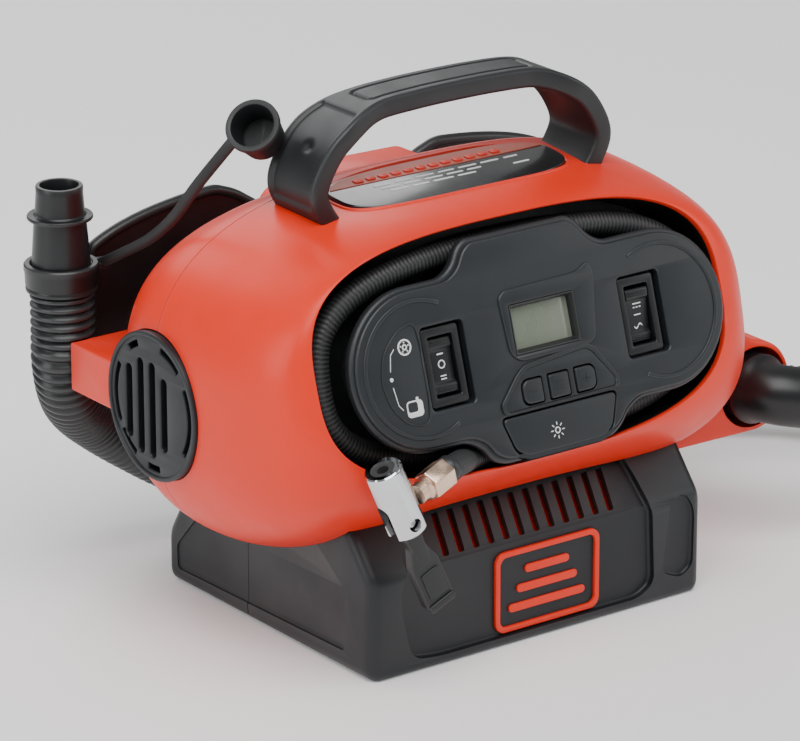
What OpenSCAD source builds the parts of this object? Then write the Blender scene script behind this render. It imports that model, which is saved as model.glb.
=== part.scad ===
/* [Body] */
// Half length of the capsule body, out to its end faces
body_half_l = 126.5; // [122:0.5:130]
// Half height of the capsule body at its seam
body_half_h = 76.5; // [74:0.5:78]
// Height of the capsule's long axis above the floor
body_z = 102; // [101:0.5:104]
// Corner fullness of the capsule outline, 2 is an ellipse
body_n = 2.8; // [2.6:0.1:3]
// Depth of the seam plane between the front and rear shells
seam_y = 13; // [12:0.5:14]
// Wall thickness of the shells
wall = 2.6; // [2.2:0.2:3]

/* [Base] */
// Half length of the base
base_half_l = 82.8; // [80:0.4:84]
// Half depth of the base
base_half_d = 70.6; // [69:0.4:72]
// Height of the base's upright front wall
base_wall_h = 42.5; // [40:0.5:45]
// Top of the base's sloping front
base_top = 62.5; // [61.5:0.5:63.5]

/* [Control panel] */
// Backward lean of the control panel in degrees
panel_tilt = 17; // [16:0.5:18]
// Depth of the panel face at its reference point
panel_y = -72.5; // [-74:0.5:-72]
// Height of the panel's reference point
panel_z = 123; // [122:0.5:124]
// Thickness of the panel plate
panel_t = 6; // [5:0.5:7]
// Depth of the hose recess behind the panel face
recess_depth = 30; // [29:0.5:31]

/* [Handle] */
// Half length over the handle's bends
handle_half_l = 69.5; // [68:0.5:71]
// Height of the handle's centre line at the grip
handle_z = 212; // [210:0.5:214]
// Thickness of the handle strap
handle_t = 8; // [7:0.5:9]
// Depth of the handle's legs
handle_leg_d = 32; // [30:1:34]
// Depth of the handle's grip
handle_grip_d = 23; // [21:1:25]

/* [Hoses] */
// Outer diameter of the blower hose
blower_hose_d = 26; // [25:0.5:27]
// Outer diameter of the air hose
air_hose_d = 10; // [9:0.5:10]

/* [Compressor] */
// Teeth of the crank gear
gear_teeth = 40; // [40:4:44]
// Teeth of the motor pinion
pinion_teeth = 10; // [10:1:11]
// Crank radius
crank_r = 8; // [6:0.5:8]
// Piston radius
piston_r = 13; // [12:0.5:14]

/* [Hidden] */

$fn = 48;
orange = [0.84, 0.27, 0.18];
charcoal = [0.20, 0.21, 0.22];
near_black = [0.10, 0.11, 0.12];
chrome = [0.75, 0.76, 0.78];
slack = 0.25;
over = 1;

// Points round each ring of the shells, and rings from the seam to a face
ring_n = 44;
ring_k = 8;
rim_n = -4;
rim_c = [-6.2, 4.8];
rim_half = [99.2, 47.8];
rim_pow = 3;
rear_y = 54;
rear_half = [94, 46];
side_fullness = 2.4;
flat_fullness = 1.2;
back_fullness = 1.4;

function spow(v, p) = sign(v) * pow(abs(v), p);
function mix(a, b, f) = a + (b - a) * f;
function oval(c, half, p, t) = [c[0] + half[0] * spow(cos(t), 2 / p), c[1] + half[1] * spow(sin(t), 2 / p)];
// A point on the panel's plane, from its across, up and outward distances
function on_plane(u, v, n) = [u,
    panel_y + v * sin(panel_tilt) - n * cos(panel_tilt),
    panel_z + v * cos(panel_tilt) + n * sin(panel_tilt)];
function seam_pt(t, grow) = let (p = oval([0, body_z], [body_half_l + grow, body_half_h + grow], body_n, t))
    [p[0], seam_y, p[1]];
function front_pt(t, grow) = let (p = oval(rim_c, [rim_half[0] + grow, rim_half[1] + grow], rim_pow, t))
    on_plane(p[0], p[1], rim_n + grow);
function rear_pt(t, grow) =
    let (p = oval([0, body_z - 2], [rear_half[0] + grow, rear_half[1] + grow], rim_pow, t))
    [p[0], rear_y + grow, p[1]];
// One point of a shell: f runs from 0 at the seam to 1 at the face
function shell_pt(t, f, grow, front) = let (
    s = seam_pt(t, grow),
    r = front ? front_pt(t, grow) : rear_pt(t, grow),
    q = mix(side_fullness, front ? flat_fullness : back_fullness, pow(abs(sin(t)), 2)),
    a = pow(cos(90 * f), 2 / q),
    b = pow(sin(90 * f), 2 / q))
    [mix(r[0], s[0], a), mix(s[1], r[1], b), mix(r[2], s[2], a)];
function shell_ring(f, grow, front) = [for (i = [0:ring_n - 1]) shell_pt(360 * i / ring_n, f, grow, front)];

// A closed skin over rings that all have the same number of points
module loft(rings, flip = false) {
    n = len(rings[0]);
    k = len(rings);
    pts = [for (r = rings) for (p = r) p];
    sides = [for (j = [0:k - 2]) for (i = [0:n - 1])
        for (tri = [[0, 1, n + 1], [0, n + 1, n]])
            [for (m = tri) (m >= n ? j + 1 : j) * n + (i + (m % n)) % n]];
    ends = [[for (i = [n - 1:-1:0]) i], [for (i = [0:n - 1]) (k - 1) * n + i]];
    faces = concat(sides, ends);
    polyhedron(points = pts, faces = flip ? faces : [for (f = faces) [for (i = [len(f) - 1:-1:0]) f[i]]]);
}
// Oval of the hose recess at one depth below the panel face
function recess_ring(grow, n) = [for (i = [0:ring_n - 1])
    let (p = oval(rim_c, [rim_half[0] + grow, rim_half[1] + grow], rim_pow, 360 * i / ring_n))
    on_plane(p[0], p[1], n)];
inner_steps = [0, 0.16, 0.32, 0.45];
// Front half of the body: recess floor, rim, outer skin, seam, inner skin and bulkhead
module front_body() {
    loft(concat([recess_ring(0, -recess_depth)],
        [for (j = [ring_k:-1:0]) shell_ring(j / ring_k, 0, true)],
        [for (f = inner_steps) shell_ring(f, -wall, true)],
        [recess_ring(1, -recess_depth - wall - 1.4)]), flip = true);
}
// Rear half of the body: back face, outer skin, seam and inner skin
module rear_body() {
    loft(concat([for (j = [ring_k:-1:0]) shell_ring(j / ring_k, 0, false)],
        [for (f = [0, 0.2, 0.4, 0.6, 0.8, 1]) shell_ring(f, -wall, false)]));
}
module in_panel() {
    translate([0, panel_y, panel_z]) rotate([90 - panel_tilt, 0, 0]) children();
}
module plate(low, high) {
    translate([0, 0, low]) linear_extrude(high - low) children();
}
module oval_2d(c, half, p, n = 60) {
    polygon([for (i = [0:n - 1]) oval(c, half, p, 360 * i / n)]);
}
module round_rect(w, h, r) {
    square([w - 2 * r, h], center = true);
    square([w, h - 2 * r], center = true);
    for (x = [-1, 1], y = [-1, 1]) translate([x * (w / 2 - r), y * (h / 2 - r)]) circle(r);
}
module along_x(x, y, z) {
    translate([x, y, z]) rotate([0, 90, 0]) children();
}
module along_y(x, y, z) {
    translate([x, y, z]) rotate([-90, 0, 0]) children();
}
module box(low, high) {
    translate(low) cube(high - low);
}

// ---- base ----
base_back_h = 21.5;
base_in = 3;
slope_y = -54;
back_top = [52, 51.5];
pad_t = 1.2;
function base_profile(g) = [[-base_half_d - g, 0], [-base_half_d - g, base_wall_h + g * 0.4],
    [slope_y - g * 0.8, base_top + g * 0.6], [slope_y + 6, base_top + g], [back_top[0] - 10, base_top + g],
    [back_top[0] + g, back_top[1] + g], [base_half_d + g, base_back_h + g * 0.4], [base_half_d + g, 0]];
module base_prism(g) {
    rotate([90, 0, 90]) translate([0, 0, -base_half_l - g]) linear_extrude(2 * (base_half_l + g))
        polygon(base_profile(g));
}
module base_block(g, floor_z) {
    intersection() {
        base_prism(g);
        translate([0, 0, floor_z]) linear_extrude(base_top + 5)
            round_rect(2 * (base_half_l + g), 2 * (base_half_d + g), 6 + g);
    }
}
vent_n = 12;
vent_pitch = 7.4;
emblem_c = [5, 22];
emblem_size = [54, 35];
module base_shell() {
    difference() {
        base_block(0, 0);
        base_block(-base_in, base_in);
        // The base opens upward into the body
        box([-base_half_l + 6, slope_y + 8, 40], [base_half_l - 6, back_top[0] - 12, base_top + 9]);
    }
}
module slope_slots() {
    for (i = [0:vent_n - 1])
        translate([(i - (vent_n - 1) / 2) * vent_pitch - 3, -62, 52.5]) rotate([-38.9 - 0.5, 0, 0])
            rotate([0, -14, 0]) cube([3.2, 12, 15], center = true);
}
module base_front() color(charcoal) {
    difference() {
        intersection() {
            base_shell();
            box([-100, -90, -1], [100, seam_y - 0.1, 80]);
        }
        slope_slots();
        // Shallow recess for the emblem
        translate([emblem_c[0], -base_half_d - over, emblem_c[1]]) rotate([-90, 0, 0])
            linear_extrude(over + 1.2) round_rect(emblem_size[0], emblem_size[1], 5);
        foot_holes();
    }
}
module base_rear() color(charcoal) difference() {
    intersection() {
        base_shell();
        box([-100, seam_y + 0.1, -1], [100, 90, 80]);
    }
    foot_holes();
    // Cable gland opening
    along_y(-40, base_half_d - 6, 12) cylinder(r = 5, h = 12);
}
foot_at = [[-66, -56], [66, -56], [-66, 56], [66, 56]];
module foot_holes() {
    for (p = foot_at) translate([p[0], p[1], -over]) cylinder(r = 7.5, h = over + pad_t);
}
module base_feet() color(near_black) {
    for (p = foot_at) translate([p[0], p[1], 0]) cylinder(r = 7.4, h = pad_t);
}
module front_emblem() color(orange) {
    translate([emblem_c[0], -base_half_d - 0.3, emblem_c[1]]) rotate([-90, 0, 0]) linear_extrude(1.4) {
        difference() {
            round_rect(emblem_size[0] - 0.6, emblem_size[1] - 0.6, 4.7);
            round_rect(emblem_size[0] - 5, emblem_size[1] - 5, 3);
        }
        // Three bars of different lengths inside a plain frame
        for (i = [-1:1]) translate([0, i * 7.6]) round_rect(30 + 8 * i, 3.4, 1.6);
    }
}

// ---- shells ----
socket_at = [139, -35, 65];
socket_r = 19.6;
socket_bore = 17.6;
socket_len = 44;
grille_r = 30;
grille_z = 100.3;
label_c = [0, -9];
label_tilt = 5.5;
label_z = 176.4;
module in_label() {
    translate([label_c[0], label_c[1], label_z]) rotate([label_tilt, 0, 0]) children();
}
module label_shape(g) {
    polygon([for (i = [0:39]) oval([0, 0], [54 + g, 18 + g], 3.2, 360 * i / 40)]);
}
module grille_seat() {
    along_x(-140, seam_y, grille_z) cylinder(r = grille_r + slack, h = 19.8);
}
module shell_cuts() {
    base_prism(slack);
    along_y(socket_at[0], socket_at[1] - over, socket_at[2])
        cylinder(r = socket_r + slack, h = socket_len + 2);
    grille_seat();
    in_label() plate(-6, 8) label_shape(slack);
}
module front_shell() color(orange) difference() {
    front_body();
    shell_cuts();
    foot_sockets();
}
// Sockets in the shell for the handle's feet
module foot_sockets() {
    for (s = [-1, 1]) rotate([90, 0, 0])
        translate([0, 0, -handle_y - handle_leg_d / 2 - slack]) linear_extrude(handle_leg_d + 2 * slack)
            strap_2d([for (p = smooth(handle_path, 4)) [s * p[0], p[1]]], handle_t / 2 + slack);
}
screw_at = [[-78, 128], [78, 128], [-78, 76], [78, 76]];
screw_in = 9.5;
module rear_shell() color(orange) difference() {
    union() {
        rear_body();
        rear_hump();
    }
    shell_cuts();
    for (p = screw_at) along_y(p[0], seam_y + over, p[1]) cylinder(r = 2.2, h = rear_y);
}
// Raised block on the crown of the rear shell
module rear_hump() difference() {
    translate([0, 44, 0]) rotate([90, 0, 0]) linear_extrude(26)
        polygon([[-60, 158], [-54, 168], [-40, 172.5], [-16, 174.5], [17, 173.6], [22, 166], [22, 158]]);
    // Room inside for the cylinder's head
    box([-61, 17, 150], [23, 32, 167.5]);
}
module shell_screws() color(chrome) {
    for (p = screw_at) {
        along_y(p[0], rear_y - screw_in, p[1]) cylinder(r = 2, h = screw_in + 0.1);
        along_y(p[0], rear_y + 0.05, p[1]) difference() {
            cylinder(r = 3.8, h = 2.6);
            for (a = [0, 90]) rotate([0, 0, a]) translate([-2.2, -0.5, 1.4]) cube([4.4, 1, 3]);
        }
    }
}
module port_socket() color(orange) {
    along_y(socket_at[0], socket_at[1], socket_at[2]) difference() {
        union() {
            cylinder(r = socket_r, h = socket_len - 8);
            translate([0, 0, socket_len - 8]) cylinder(r1 = socket_r, r2 = 12, h = 8);
        }
        translate([0, 0, -over]) cylinder(r = socket_bore, h = socket_len - 12 + over);
    }
}
module end_grille() color(charcoal) {
    slot_h = [34, 44, 44, 34];
    along_x(-126.5, seam_y, grille_z) difference() {
        union() {
            cylinder(r = grille_r, h = 6);
            translate([0, 0, -1]) difference() {
                cylinder(r = grille_r - 1, h = 3);
                translate([0, 0, -over]) cylinder(r = grille_r - 7, h = 3 + over);
            }
        }
        for (i = [0:3]) translate([0, (i - 1.5) * 9, 2.5]) cube([slot_h[i], 4, 12], center = true);
    }
}

// ---- handle ----
handle_y = -5.5;
foot_x = 58;
handle_path = [[-foot_x - 1, 167], [-66, 174], [-handle_half_l, 182], [-67.5, 190], [-60.5, 200], [-50, 207],
    [-38, 210.8], [-20, handle_z], [0, handle_z + 0.3]];
function mirrored(path) = concat(path, [for (i = [len(path) - 2:-1:0]) [-path[i][0], path[i][1]]]);
function bend(a, b, c, d, f) = 0.5 * ((2 * b) + (c - a) * f + (2 * a - 5 * b + 4 * c - d) * f * f
    + (3 * b - a - 3 * c + d) * f * f * f);
// A smooth curve through every point of a path, with m steps between neighbours
function smooth(path, m) = let (n = len(path))
    [for (i = [0:n - 2]) for (j = [0:m - 1])
        bend(path[max(i - 1, 0)], path[i], path[i + 1], path[min(i + 2, n - 1)], j / m), path[n - 1]];
function unit(v) = v / norm(v);
function side_of(path, i, d) = let (n = len(path), t = unit(path[min(i + 1, n - 1)] - path[max(i - 1, 0)]))
    path[i] + d * [-t[1], t[0]];
module strap_2d(path, d) {
    polygon(concat([for (i = [0:len(path) - 1]) side_of(path, i, d)],
        [for (i = [len(path) - 1:-1:0]) side_of(path, i, -d)]));
}
module handle() color(charcoal) difference() {
    grip = handle_grip_d / 2;
    leg = handle_leg_d / 2;
    plan = [[-80, leg], [-60, leg], [-50, leg - 1.5], [-41, grip + 1], [-34, grip]];
    intersection() {
        rotate([90, 0, 0]) translate([0, 0, -handle_y - leg]) linear_extrude(handle_leg_d)
            strap_2d(smooth(mirrored(handle_path), 4), handle_t / 2);
        translate([0, handle_y, 150]) linear_extrude(80) polygon(concat(
            plan, [for (i = [len(plan) - 1:-1:0]) [-plan[i][0], plan[i][1]]],
            [for (p = plan) [-p[0], -p[1]]], [for (i = [len(plan) - 1:-1:0]) [plan[i][0], -plan[i][1]]]));
    }
    // Shallow pads on the shoulders
    for (s = [-1, 1]) translate([s * 63, handle_y, 206]) rotate([0, s * 48, 0])
        translate([0, 0, 4.3]) cube([18, 20, 1.6], center = true);
}
module label_plate() color(near_black) in_label() difference() {
    plate(-3.4, 0.3) label_shape(0);
    translate([-60, 4, -0.9]) cube([120, 20, 3]);
}
module label_stripe() color(orange) in_label() intersection() {
    plate(-0.9, 0.5) label_shape(-1);
    translate([-60, 4.1, -2]) cube([120, 20, 6]);
}

// ---- control panel ----
lobe_r = 32.6;
lobe_u = 59;
lobe_v = 2.4;
module panel_outline(g) {
    for (s = [-1, 1]) translate([s * lobe_u, lobe_v]) circle(lobe_r + g);
    translate([-lobe_u, lobe_v - lobe_r - g]) square([2 * lobe_u, 2 * (lobe_r + g)]);
    polygon([[-46 - g, 30], [-43 - g, 34.6 + g], [-37 - g, 38.4 + g], [-33 - g, 45 + g], [-29 - g, 47.6 + g],
        [22 + g, 47.6 + g], [26 + g, 45 + g], [31 + g, 38.4 + g], [37 + g, 34.6 + g], [40 + g, 30]]);
    polygon([[-46 - g, -26], [-44 - g, -30.4 - g], [-37 - g, -33.6 - g], [-33 - g, -39.5 - g],
        [-27 - g, -42 - g], [26 + g, -42 - g], [32 + g, -38.5 - g], [36 + g, -33.6 - g],
        [43 + g, -30.4 - g], [45 + g, -26]]);
}
left_switch = [-47.5, 1.5];
right_switch = [49, 2.5];
switch_size = [18, 31];
display_c = [1, 8.5];
button_v = -16.3;
button_u = [-10.2, 2.8, 15.8];
button_w = 9.6;
light_pts = [[-26.5, -24.4], [29.7, -24.4], [25, -37.5], [20, -40.4], [-17, -40.4], [-22, -37.5]];
module light_2d() {
    polygon(light_pts);
}
module control_panel() color(charcoal) in_panel() difference() {
    union() {
        plate(-panel_t, -0.6) panel_outline(0);
        plate(-0.7, 0) panel_outline(-1.2);
        // Raised trapezoid round the display and the buttons
        plate(-0.2, 1) polygon([[-21, 26], [27, 26.5], [40.5, -21], [38, -23], [-34, -23], [-36.5, -21]]);
        for (s = [-1, 1]) translate([s * lobe_u, lobe_v]) intersection() {
            plate(-0.2, 0.8) difference() {
                circle(lobe_r - 6.5);
                circle(lobe_r - 9);
            }
            translate([s > 0 ? 4 : -40, -20, -1]) cube([36, 40, 4]);
        }
    }
    translate([left_switch[0] + 1, left_switch[1], -panel_t - over]) linear_extrude(panel_t + 4)
        square([switch_size[0] + 3.4, switch_size[1] + 2], center = true);
    translate([right_switch[0] + 1, right_switch[1], -panel_t - over]) linear_extrude(panel_t + 4)
        square([switch_size[0] + 3.4, switch_size[1] + 2], center = true);
    translate([display_c[0], display_c[1], -panel_t - over]) linear_extrude(panel_t + 4)
        square([31, 19], center = true);
    for (u = button_u) translate([u, button_v, -panel_t - over]) linear_extrude(panel_t + 4)
        square(button_w + 0.9, center = true);
    translate([0, 0, -panel_t - over]) linear_extrude(panel_t + 4) polygon([for (p = light_pts)
        [p[0] + sign(p[0]) * 0.5, p[1] + (p[1] > -30 ? 0.5 : -0.5)]]);
}
hub_inset = 15.5;
module panel_hub() color(near_black) in_panel() difference() {
    plate(-recess_depth, -panel_t) hub_2d();
    plate(-recess_depth + 3, -panel_t + over) hub_2d(-2.4);
    // Notch for the button board
    translate([-20.5, -24.5, -10.1]) cube([47, 16, 5]);
}
module hub_2d(g = 0) {
    for (s = [-1, 1]) translate([s * lobe_u, lobe_v]) circle(lobe_r - hub_inset + g);
    translate([-lobe_u, lobe_v - lobe_r + hub_inset - g]) square([2 * lobe_u, 2 * (lobe_r - hub_inset + g)]);
}
module display_window() color([0.36, 0.4, 0.34]) in_panel()
    translate([display_c[0], display_c[1], -4.2]) linear_extrude(1.6) square([30.4, 18.4], center = true);
module display_module() color([0.2, 0.4, 0.25]) in_panel()
    translate([display_c[0], display_c[1], -9.4]) linear_extrude(5) square([29.6, 17], center = true);
module switch_frame(at) {
    in_panel() translate([at[0], at[1], 0]) difference() {
        union() {
            plate(-4.6, -2.2) square(switch_size, center = true);
            plate(-20, -4.6) square([switch_size[0] - 3, 26], center = true);
        }
        plate(-15, 0) square([11.4, 23.4], center = true);
    }
}
module power_switch_frame() color(near_black) switch_frame(left_switch);
module source_switch_frame() color(near_black) switch_frame(right_switch);
rocker_pivot = -7;
module rocker(at, tilt) {
    in_panel() translate([at[0], at[1], rocker_pivot]) rotate([tilt, 0, 0]) rotate([0, 90, 0]) {
        // Trunnions that the rocker turns on
        translate([0, 0, -5.5]) cylinder(r = 1.5, h = 11);
        translate([0, 0, -5.2]) linear_extrude(10.4) polygon([[-4.6, -9.8], [-3.4, -3], [-3, 0], [-3.4, 3],
            [-4.6, 9.8], [3, 8.6], [5, 3], [5, -3], [3, -8.6]]);
    }
}
source_rest = 8;
module power_rocker() color(near_black) rocker(left_switch, 0);
module source_rocker() color(near_black) rocker(right_switch, source_rest);
module push_button(u) {
    in_panel() translate([u, button_v, 0]) {
        plate(-4.8, 1.4) square(button_w, center = true);
        plate(-6, -4.8) circle(2.5);
    }
}
module button_minus() color(charcoal) push_button(button_u[0]);
module button_mode() color(charcoal) push_button(button_u[1]);
module button_plus() color(charcoal) push_button(button_u[2]);
module light_button() color(charcoal) in_panel() {
    plate(-4.8, 0.3) light_2d();
    translate([2.8, -32, 0]) plate(-6, -4.8) circle(2.5);
}
module button_board() color([0.1, 0.35, 0.2]) in_panel() {
    translate([-20, -24, -9.6]) cube([46, 15, 1.6]);
    for (u = button_u) translate([u, button_v, 0]) plate(-8, -7.6) circle(3);
}

// ---- cord store and hose bracket on the back ----
flange_y = 88;
flange_t = 3;
module cord_hub() color(near_black) along_y(0, rear_y, body_z) difference() {
    linear_extrude(flange_y - rear_y) oval_2d([0, 0], [62, 26], 2.6);
    translate([0, 0, 3]) linear_extrude(20) oval_2d([0, 0], [59, 23], 2.6);
}
flange_x = 12;
flange_half = [114.5, 55];
// Full upper lobes cut off square at the ends, and a lower edge drawn in to clear the hose
module flange_2d() {
    polygon([for (i = [0:59]) let (t = 6 * i)
        let (up = oval([0, 0], [flange_half[0] * 1.18, flange_half[1]], 3.2, t))
        t > 180 ? oval([0, 0], [flange_half[0], flange_half[1] - 5], 1.7, t)
            : [max(-flange_half[0], min(flange_half[0], up[0])), up[1]]]);
}
module cord_flange() color(near_black) along_y(flange_x, flange_y, body_z) difference() {
    linear_extrude(flange_t) rotate(180) flange_2d();
    for (s = [-1, 1]) translate([0, s * (flange_half[1] + 9), -over]) linear_extrude(flange_t + 2 * over)
        oval_2d([0, 0], [46, 22], 3);
    translate([-flange_x, 0, -over]) linear_extrude(flange_t + 2 * over) oval_2d([0, 0], [40, 14], 2.6);
}
hose_x = -122;
hose_y = 83;
module hose_bracket() color(orange) {
    // Arm behind the left end, hollowed to the hose that rests in it
    difference() {
        box([-126.5, 38, 90.5], [-98, 71, 110.5]);
        loft([for (j = [ring_k:-1:0]) shell_ring(j / ring_k, 0.05, false)]);
        grille_seat();
        translate([hose_x, hose_y, 80]) cylinder(r = blower_hose_d / 2 + slack, h = 40);
    }
}

// ---- blower hose, its nozzle and its cap ----
nozzle_z = 136;
module nozzle() color(near_black) translate([hose_x, hose_y, nozzle_z]) difference() {
    union() {
        cylinder(r = 11.9, h = 4);
        translate([0, 0, 4]) cylinder(r1 = 11.8, r2 = 10.4, h = 19);
        translate([0, 0, 22.4]) cylinder(r = 13.2, h = 1.4);
        translate([0, 0, 23.8]) cylinder(r1 = 9.9, r2 = 9.3, h = 12.2);
    }
    translate([0, 0, -over]) cylinder(r = 7.8, h = 50);
}
module nozzle_collar() color(near_black) translate([hose_x, hose_y, nozzle_z - 7.5]) {
    difference() {
        union() {
            cylinder(r = 15, h = 11.5);
            translate([10, -8, 7.5]) cube([9, 7, 4]);
        }
        translate([0, 0, 7.4]) cylinder(r = 12, h = 6);
        translate([0, 0, -over]) cylinder(r = 10.4, h = 14);
    }
}
// Route of the cap's strap from the collar's ear up to the cap's mouth
strap_route = [[-108, 76, 138.5], [-104.5, 66, 144.5], [-100, 52, 153.5], [-98, 38, 165.5], [-96, 24, 182],
    [-90, 9, 201.5]];
module cap_strap() color(near_black) tube(strap_route, 2.2, 8);
cap_at = [-82, 6, 207];
module nozzle_cap() color(near_black) translate(cap_at) rotate(cap_turn) difference() {
    union() {
        cylinder(r = 11, h = 2);
        translate([0, 0, -14]) cylinder(r1 = 8.6, r2 = 10.4, h = 14.2);
    }
    translate([0, 0, -11]) cylinder(r = 8.6, h = 14);
}
cap_turn = [52, 0, -58];

function cross_of(a, b) = unit(cross(a, b));
function along(p, i) = unit(p[min(i + 1, len(p) - 1)] - p[max(i - 1, 0)]);
// A round tube along a route, with m sides
module tube(route, r, m) {
    n = len(route);
    rings = [for (i = [0:n - 1]) let (
        t = along(route, i),
        a = cross_of(t, abs(t[2]) > 0.9 ? [0, 1, 0] : [0, 0, 1]),
        b = cross(t, a))
        [for (j = [0:m - 1]) route[i] + r * (cos(360 * j / m) * a + sin(360 * j / m) * b)]];
    loft(rings);
}
blower_route = [[hose_x, hose_y, 128.4], [hose_x, hose_y, 112], [-121.5, 84, 99], [-116.5, 89, 85],
    [-107, 98, 73], [-93, 106, 61], [-75, 108, 47.5], [-51, 108, 32], [-25, 107, 23], [15, 106, 19],
    [60, 104, 18], [105, 98, 18], [150, 90, 18], [193, 74, 18.5], [225, 52, 18.5], [243, 22, 20],
    [249, -12, 27], [238, -42, 38], [214, -60, 49], [186, -63, 55], [162, -56, 60]];
module blower_hose() color(near_black) tube(blower_route, blower_hose_d / 2, 12);
module hose_elbow() color(near_black) difference() {
    union() {
        along_y(socket_at[0], socket_at[1] - 16, socket_at[2]) cylinder(r = 15, h = 40);
        translate([socket_at[0], socket_at[1] - 16, socket_at[2]]) sphere(r = 14.9);
        translate([socket_at[0], socket_at[1] - 16, socket_at[2]])
            rotate([0, 100, -17]) cylinder(r = 13.4, h = 24);
    }
    along_y(socket_at[0], socket_at[1] - 10, socket_at[2]) cylinder(r = 11, h = 50);
}

// ---- air hose and its chuck ----
coil_c = [-5, 4];
module air_hose_coil() color(near_black) in_panel() difference() {
    plate(-recess_depth + 1, -panel_t - 3) oval_2d(coil_c, [95.8, 44.4], 3);
    plate(-recess_depth, 0) oval_2d(coil_c, [84.8, 33.4], 2.7);
}
// Across, up and outward distances along the panel of the hose's free end
tail_plane = [[-10, -35, -14.5], [-22, -36, -13.5], [-33.5, -37, -12], [-41, -37, -8.5], [-47, -36.4, -3],
    [-54, -36.6, 1.8], [-60.4, -37.2, 5.4]];
tail_route = [for (p = tail_plane) on_plane(p[0], p[1], p[2])];
module air_hose_tail() color(near_black) tube(tail_route, air_hose_d / 2, 8);
chuck_top = [-91.6, -90, 97.6];
chuck_len = 30;
chuck_r = 7.7;
chuck_lean = 24;
module at_chuck() {
    translate(chuck_top) rotate([0, 180 - chuck_lean, 0]) children();
}
ferrule_at = [-60.5, -88.5, 89];
module hose_ferrule() color([0.75, 0.5, 0.35]) translate(ferrule_at) rotate([0, -106, 12]) {
    cylinder(r = 6.4, h = 11.5, $fn = 6);
    cylinder(r = 4, h = 17.2);
}
module chuck_barrel() color(chrome) at_chuck() difference() {
    cylinder(r = chuck_r, h = chuck_len);
    translate([0, 0, -over]) cylinder(r = 5, h = 14);
    translate([-10, -3.2, chuck_len - 12]) cube([20, 6.4, 14]);
    at_pin(10) cylinder(r = 1.6, h = 20);
}
// The lever's pin runs from front to back through the barrel
module at_pin(half) {
    translate([0, -half, chuck_len - 5]) rotate([-90, 0, 0]) children();
}
module chuck_seal() color(near_black) at_chuck() difference() {
    translate([0, 0, 0.5]) cylinder(r = 4.9, h = 6);
    translate([0, 0, -over]) cylinder(r = 2.4, h = 10);
}
module chuck_pin() color(chrome) at_chuck() at_pin(8) cylinder(r = 1.55, h = 16);
module chuck_lever() color(near_black) at_chuck() difference() {
    union() {
        at_pin(2.8) cylinder(r = 4.6, h = 5.6);
        translate([-3.5, -2.8, chuck_len - 5]) cube([7, 5.6, 24]);
        translate([-6.5, -3, chuck_len + 15]) cube([13, 6, 22]);
    }
    at_pin(10) cylinder(r = 1.62, h = 20);
}

// ---- compressor ----
motor_y = 10;
motor_z = 87;
gear_m = 1;
gear_x = -42;
gear_w = 8;
crank_z = motor_z + gear_m * (gear_teeth + pinion_teeth) / 2;
cyl_x = -2;
module gear_2d(teeth, turn) {
    r = gear_m * teeth / 2;
    root = r - 1.15 * gear_m;
    tip = r + 0.85 * gear_m;
    circle(root, $fn = 64);
    for (i = [0:teeth - 1]) rotate(turn + 360 * i / teeth)
        polygon([[root - 0.5, -0.82], [root, -0.82], [r, -0.62], [tip, -0.28], [tip, 0.28], [r, 0.62],
            [root, 0.82], [root - 0.5, 0.82]]);
}
module motor_can() color([0.6, 0.62, 0.63]) along_x(-98, motor_y, motor_z) difference() {
    cylinder(r = 21, h = 52);
    translate([0, 0, -over]) cylinder(r = 2.55, h = 60);
    translate([0, 0, 3]) cylinder(r = 18.5, h = 46);
}
module motor_shaft() color(chrome) along_x(-114, motor_y, motor_z) {
    cylinder(r = 2.5, h = 81);
    translate([0, 0, 22]) cylinder(r = 15, h = 38);
}
module drive_pinion() color([0.8, 0.65, 0.3]) along_x(gear_x, motor_y, motor_z) linear_extrude(gear_w)
    difference() {
        gear_2d(pinion_teeth, 0);
        circle(2.5);
    }
module cooling_fan() color(near_black) along_x(-113, motor_y, motor_z) difference() {
    union() {
        cylinder(r = 6, h = 8);
        for (i = [0:5]) rotate([0, 0, 60 * i]) translate([4, -1, 0.5]) rotate([25, 0, 0]) cube([14, 1.6, 7]);
    }
    translate([0, 0, -over]) cylinder(r = 2.5, h = 12);
}
module crank_gear() color([0.85, 0.85, 0.8]) along_x(gear_x, motor_y, crank_z) linear_extrude(gear_w)
    difference() {
        gear_2d(gear_teeth, 180 / gear_teeth);
        circle(4);
        for (i = [0:5]) rotate(60 * i) translate([11, 0]) circle(3);
    }
module crank_shaft() color(chrome) {
    along_x(gear_x, motor_y, crank_z) cylinder(r = 4, h = 28);
    along_x(-16, motor_y, crank_z) cylinder(r = 13, h = 5);
    along_x(-12, motor_y + crank_r, crank_z) cylinder(r = 3, h = 6.4);
}
module compressor_frame() color([0.65, 0.66, 0.68]) difference() {
    union() {
        box([-28, motor_y - 20, motor_z - 22], [-21, motor_y + 20, crank_z + 22]);
        box([-28, motor_y - 20, crank_z + 16], [cyl_x + 20, motor_y + 20, crank_z + 22]);
    }
    along_x(-40, motor_y, crank_z) cylinder(r = 4.05, h = 30);
    along_x(-40, motor_y, motor_z) cylinder(r = 6, h = 30);
    translate([cyl_x, motor_y, 100]) cylinder(r = piston_r + 1, h = 60);
}
piston_z = crank_z + 30;
module piston_rod() color([0.7, 0.7, 0.72]) {
    translate([cyl_x, motor_y, piston_z]) cylinder(r = piston_r - 0.05, h = 10);
    box([cyl_x - 2.4, motor_y - 4, crank_z + 4], [cyl_x + 2.4, motor_y + 4, piston_z + 1]);
    along_x(cyl_x - 2.4, motor_y, crank_z) difference() {
        cylinder(r = 7, h = 4.8);
        translate([0, 0, -over]) cylinder(r = 4, h = 8);
    }
}
cyl_low = crank_z + 22;
cyl_h = 27;
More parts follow.
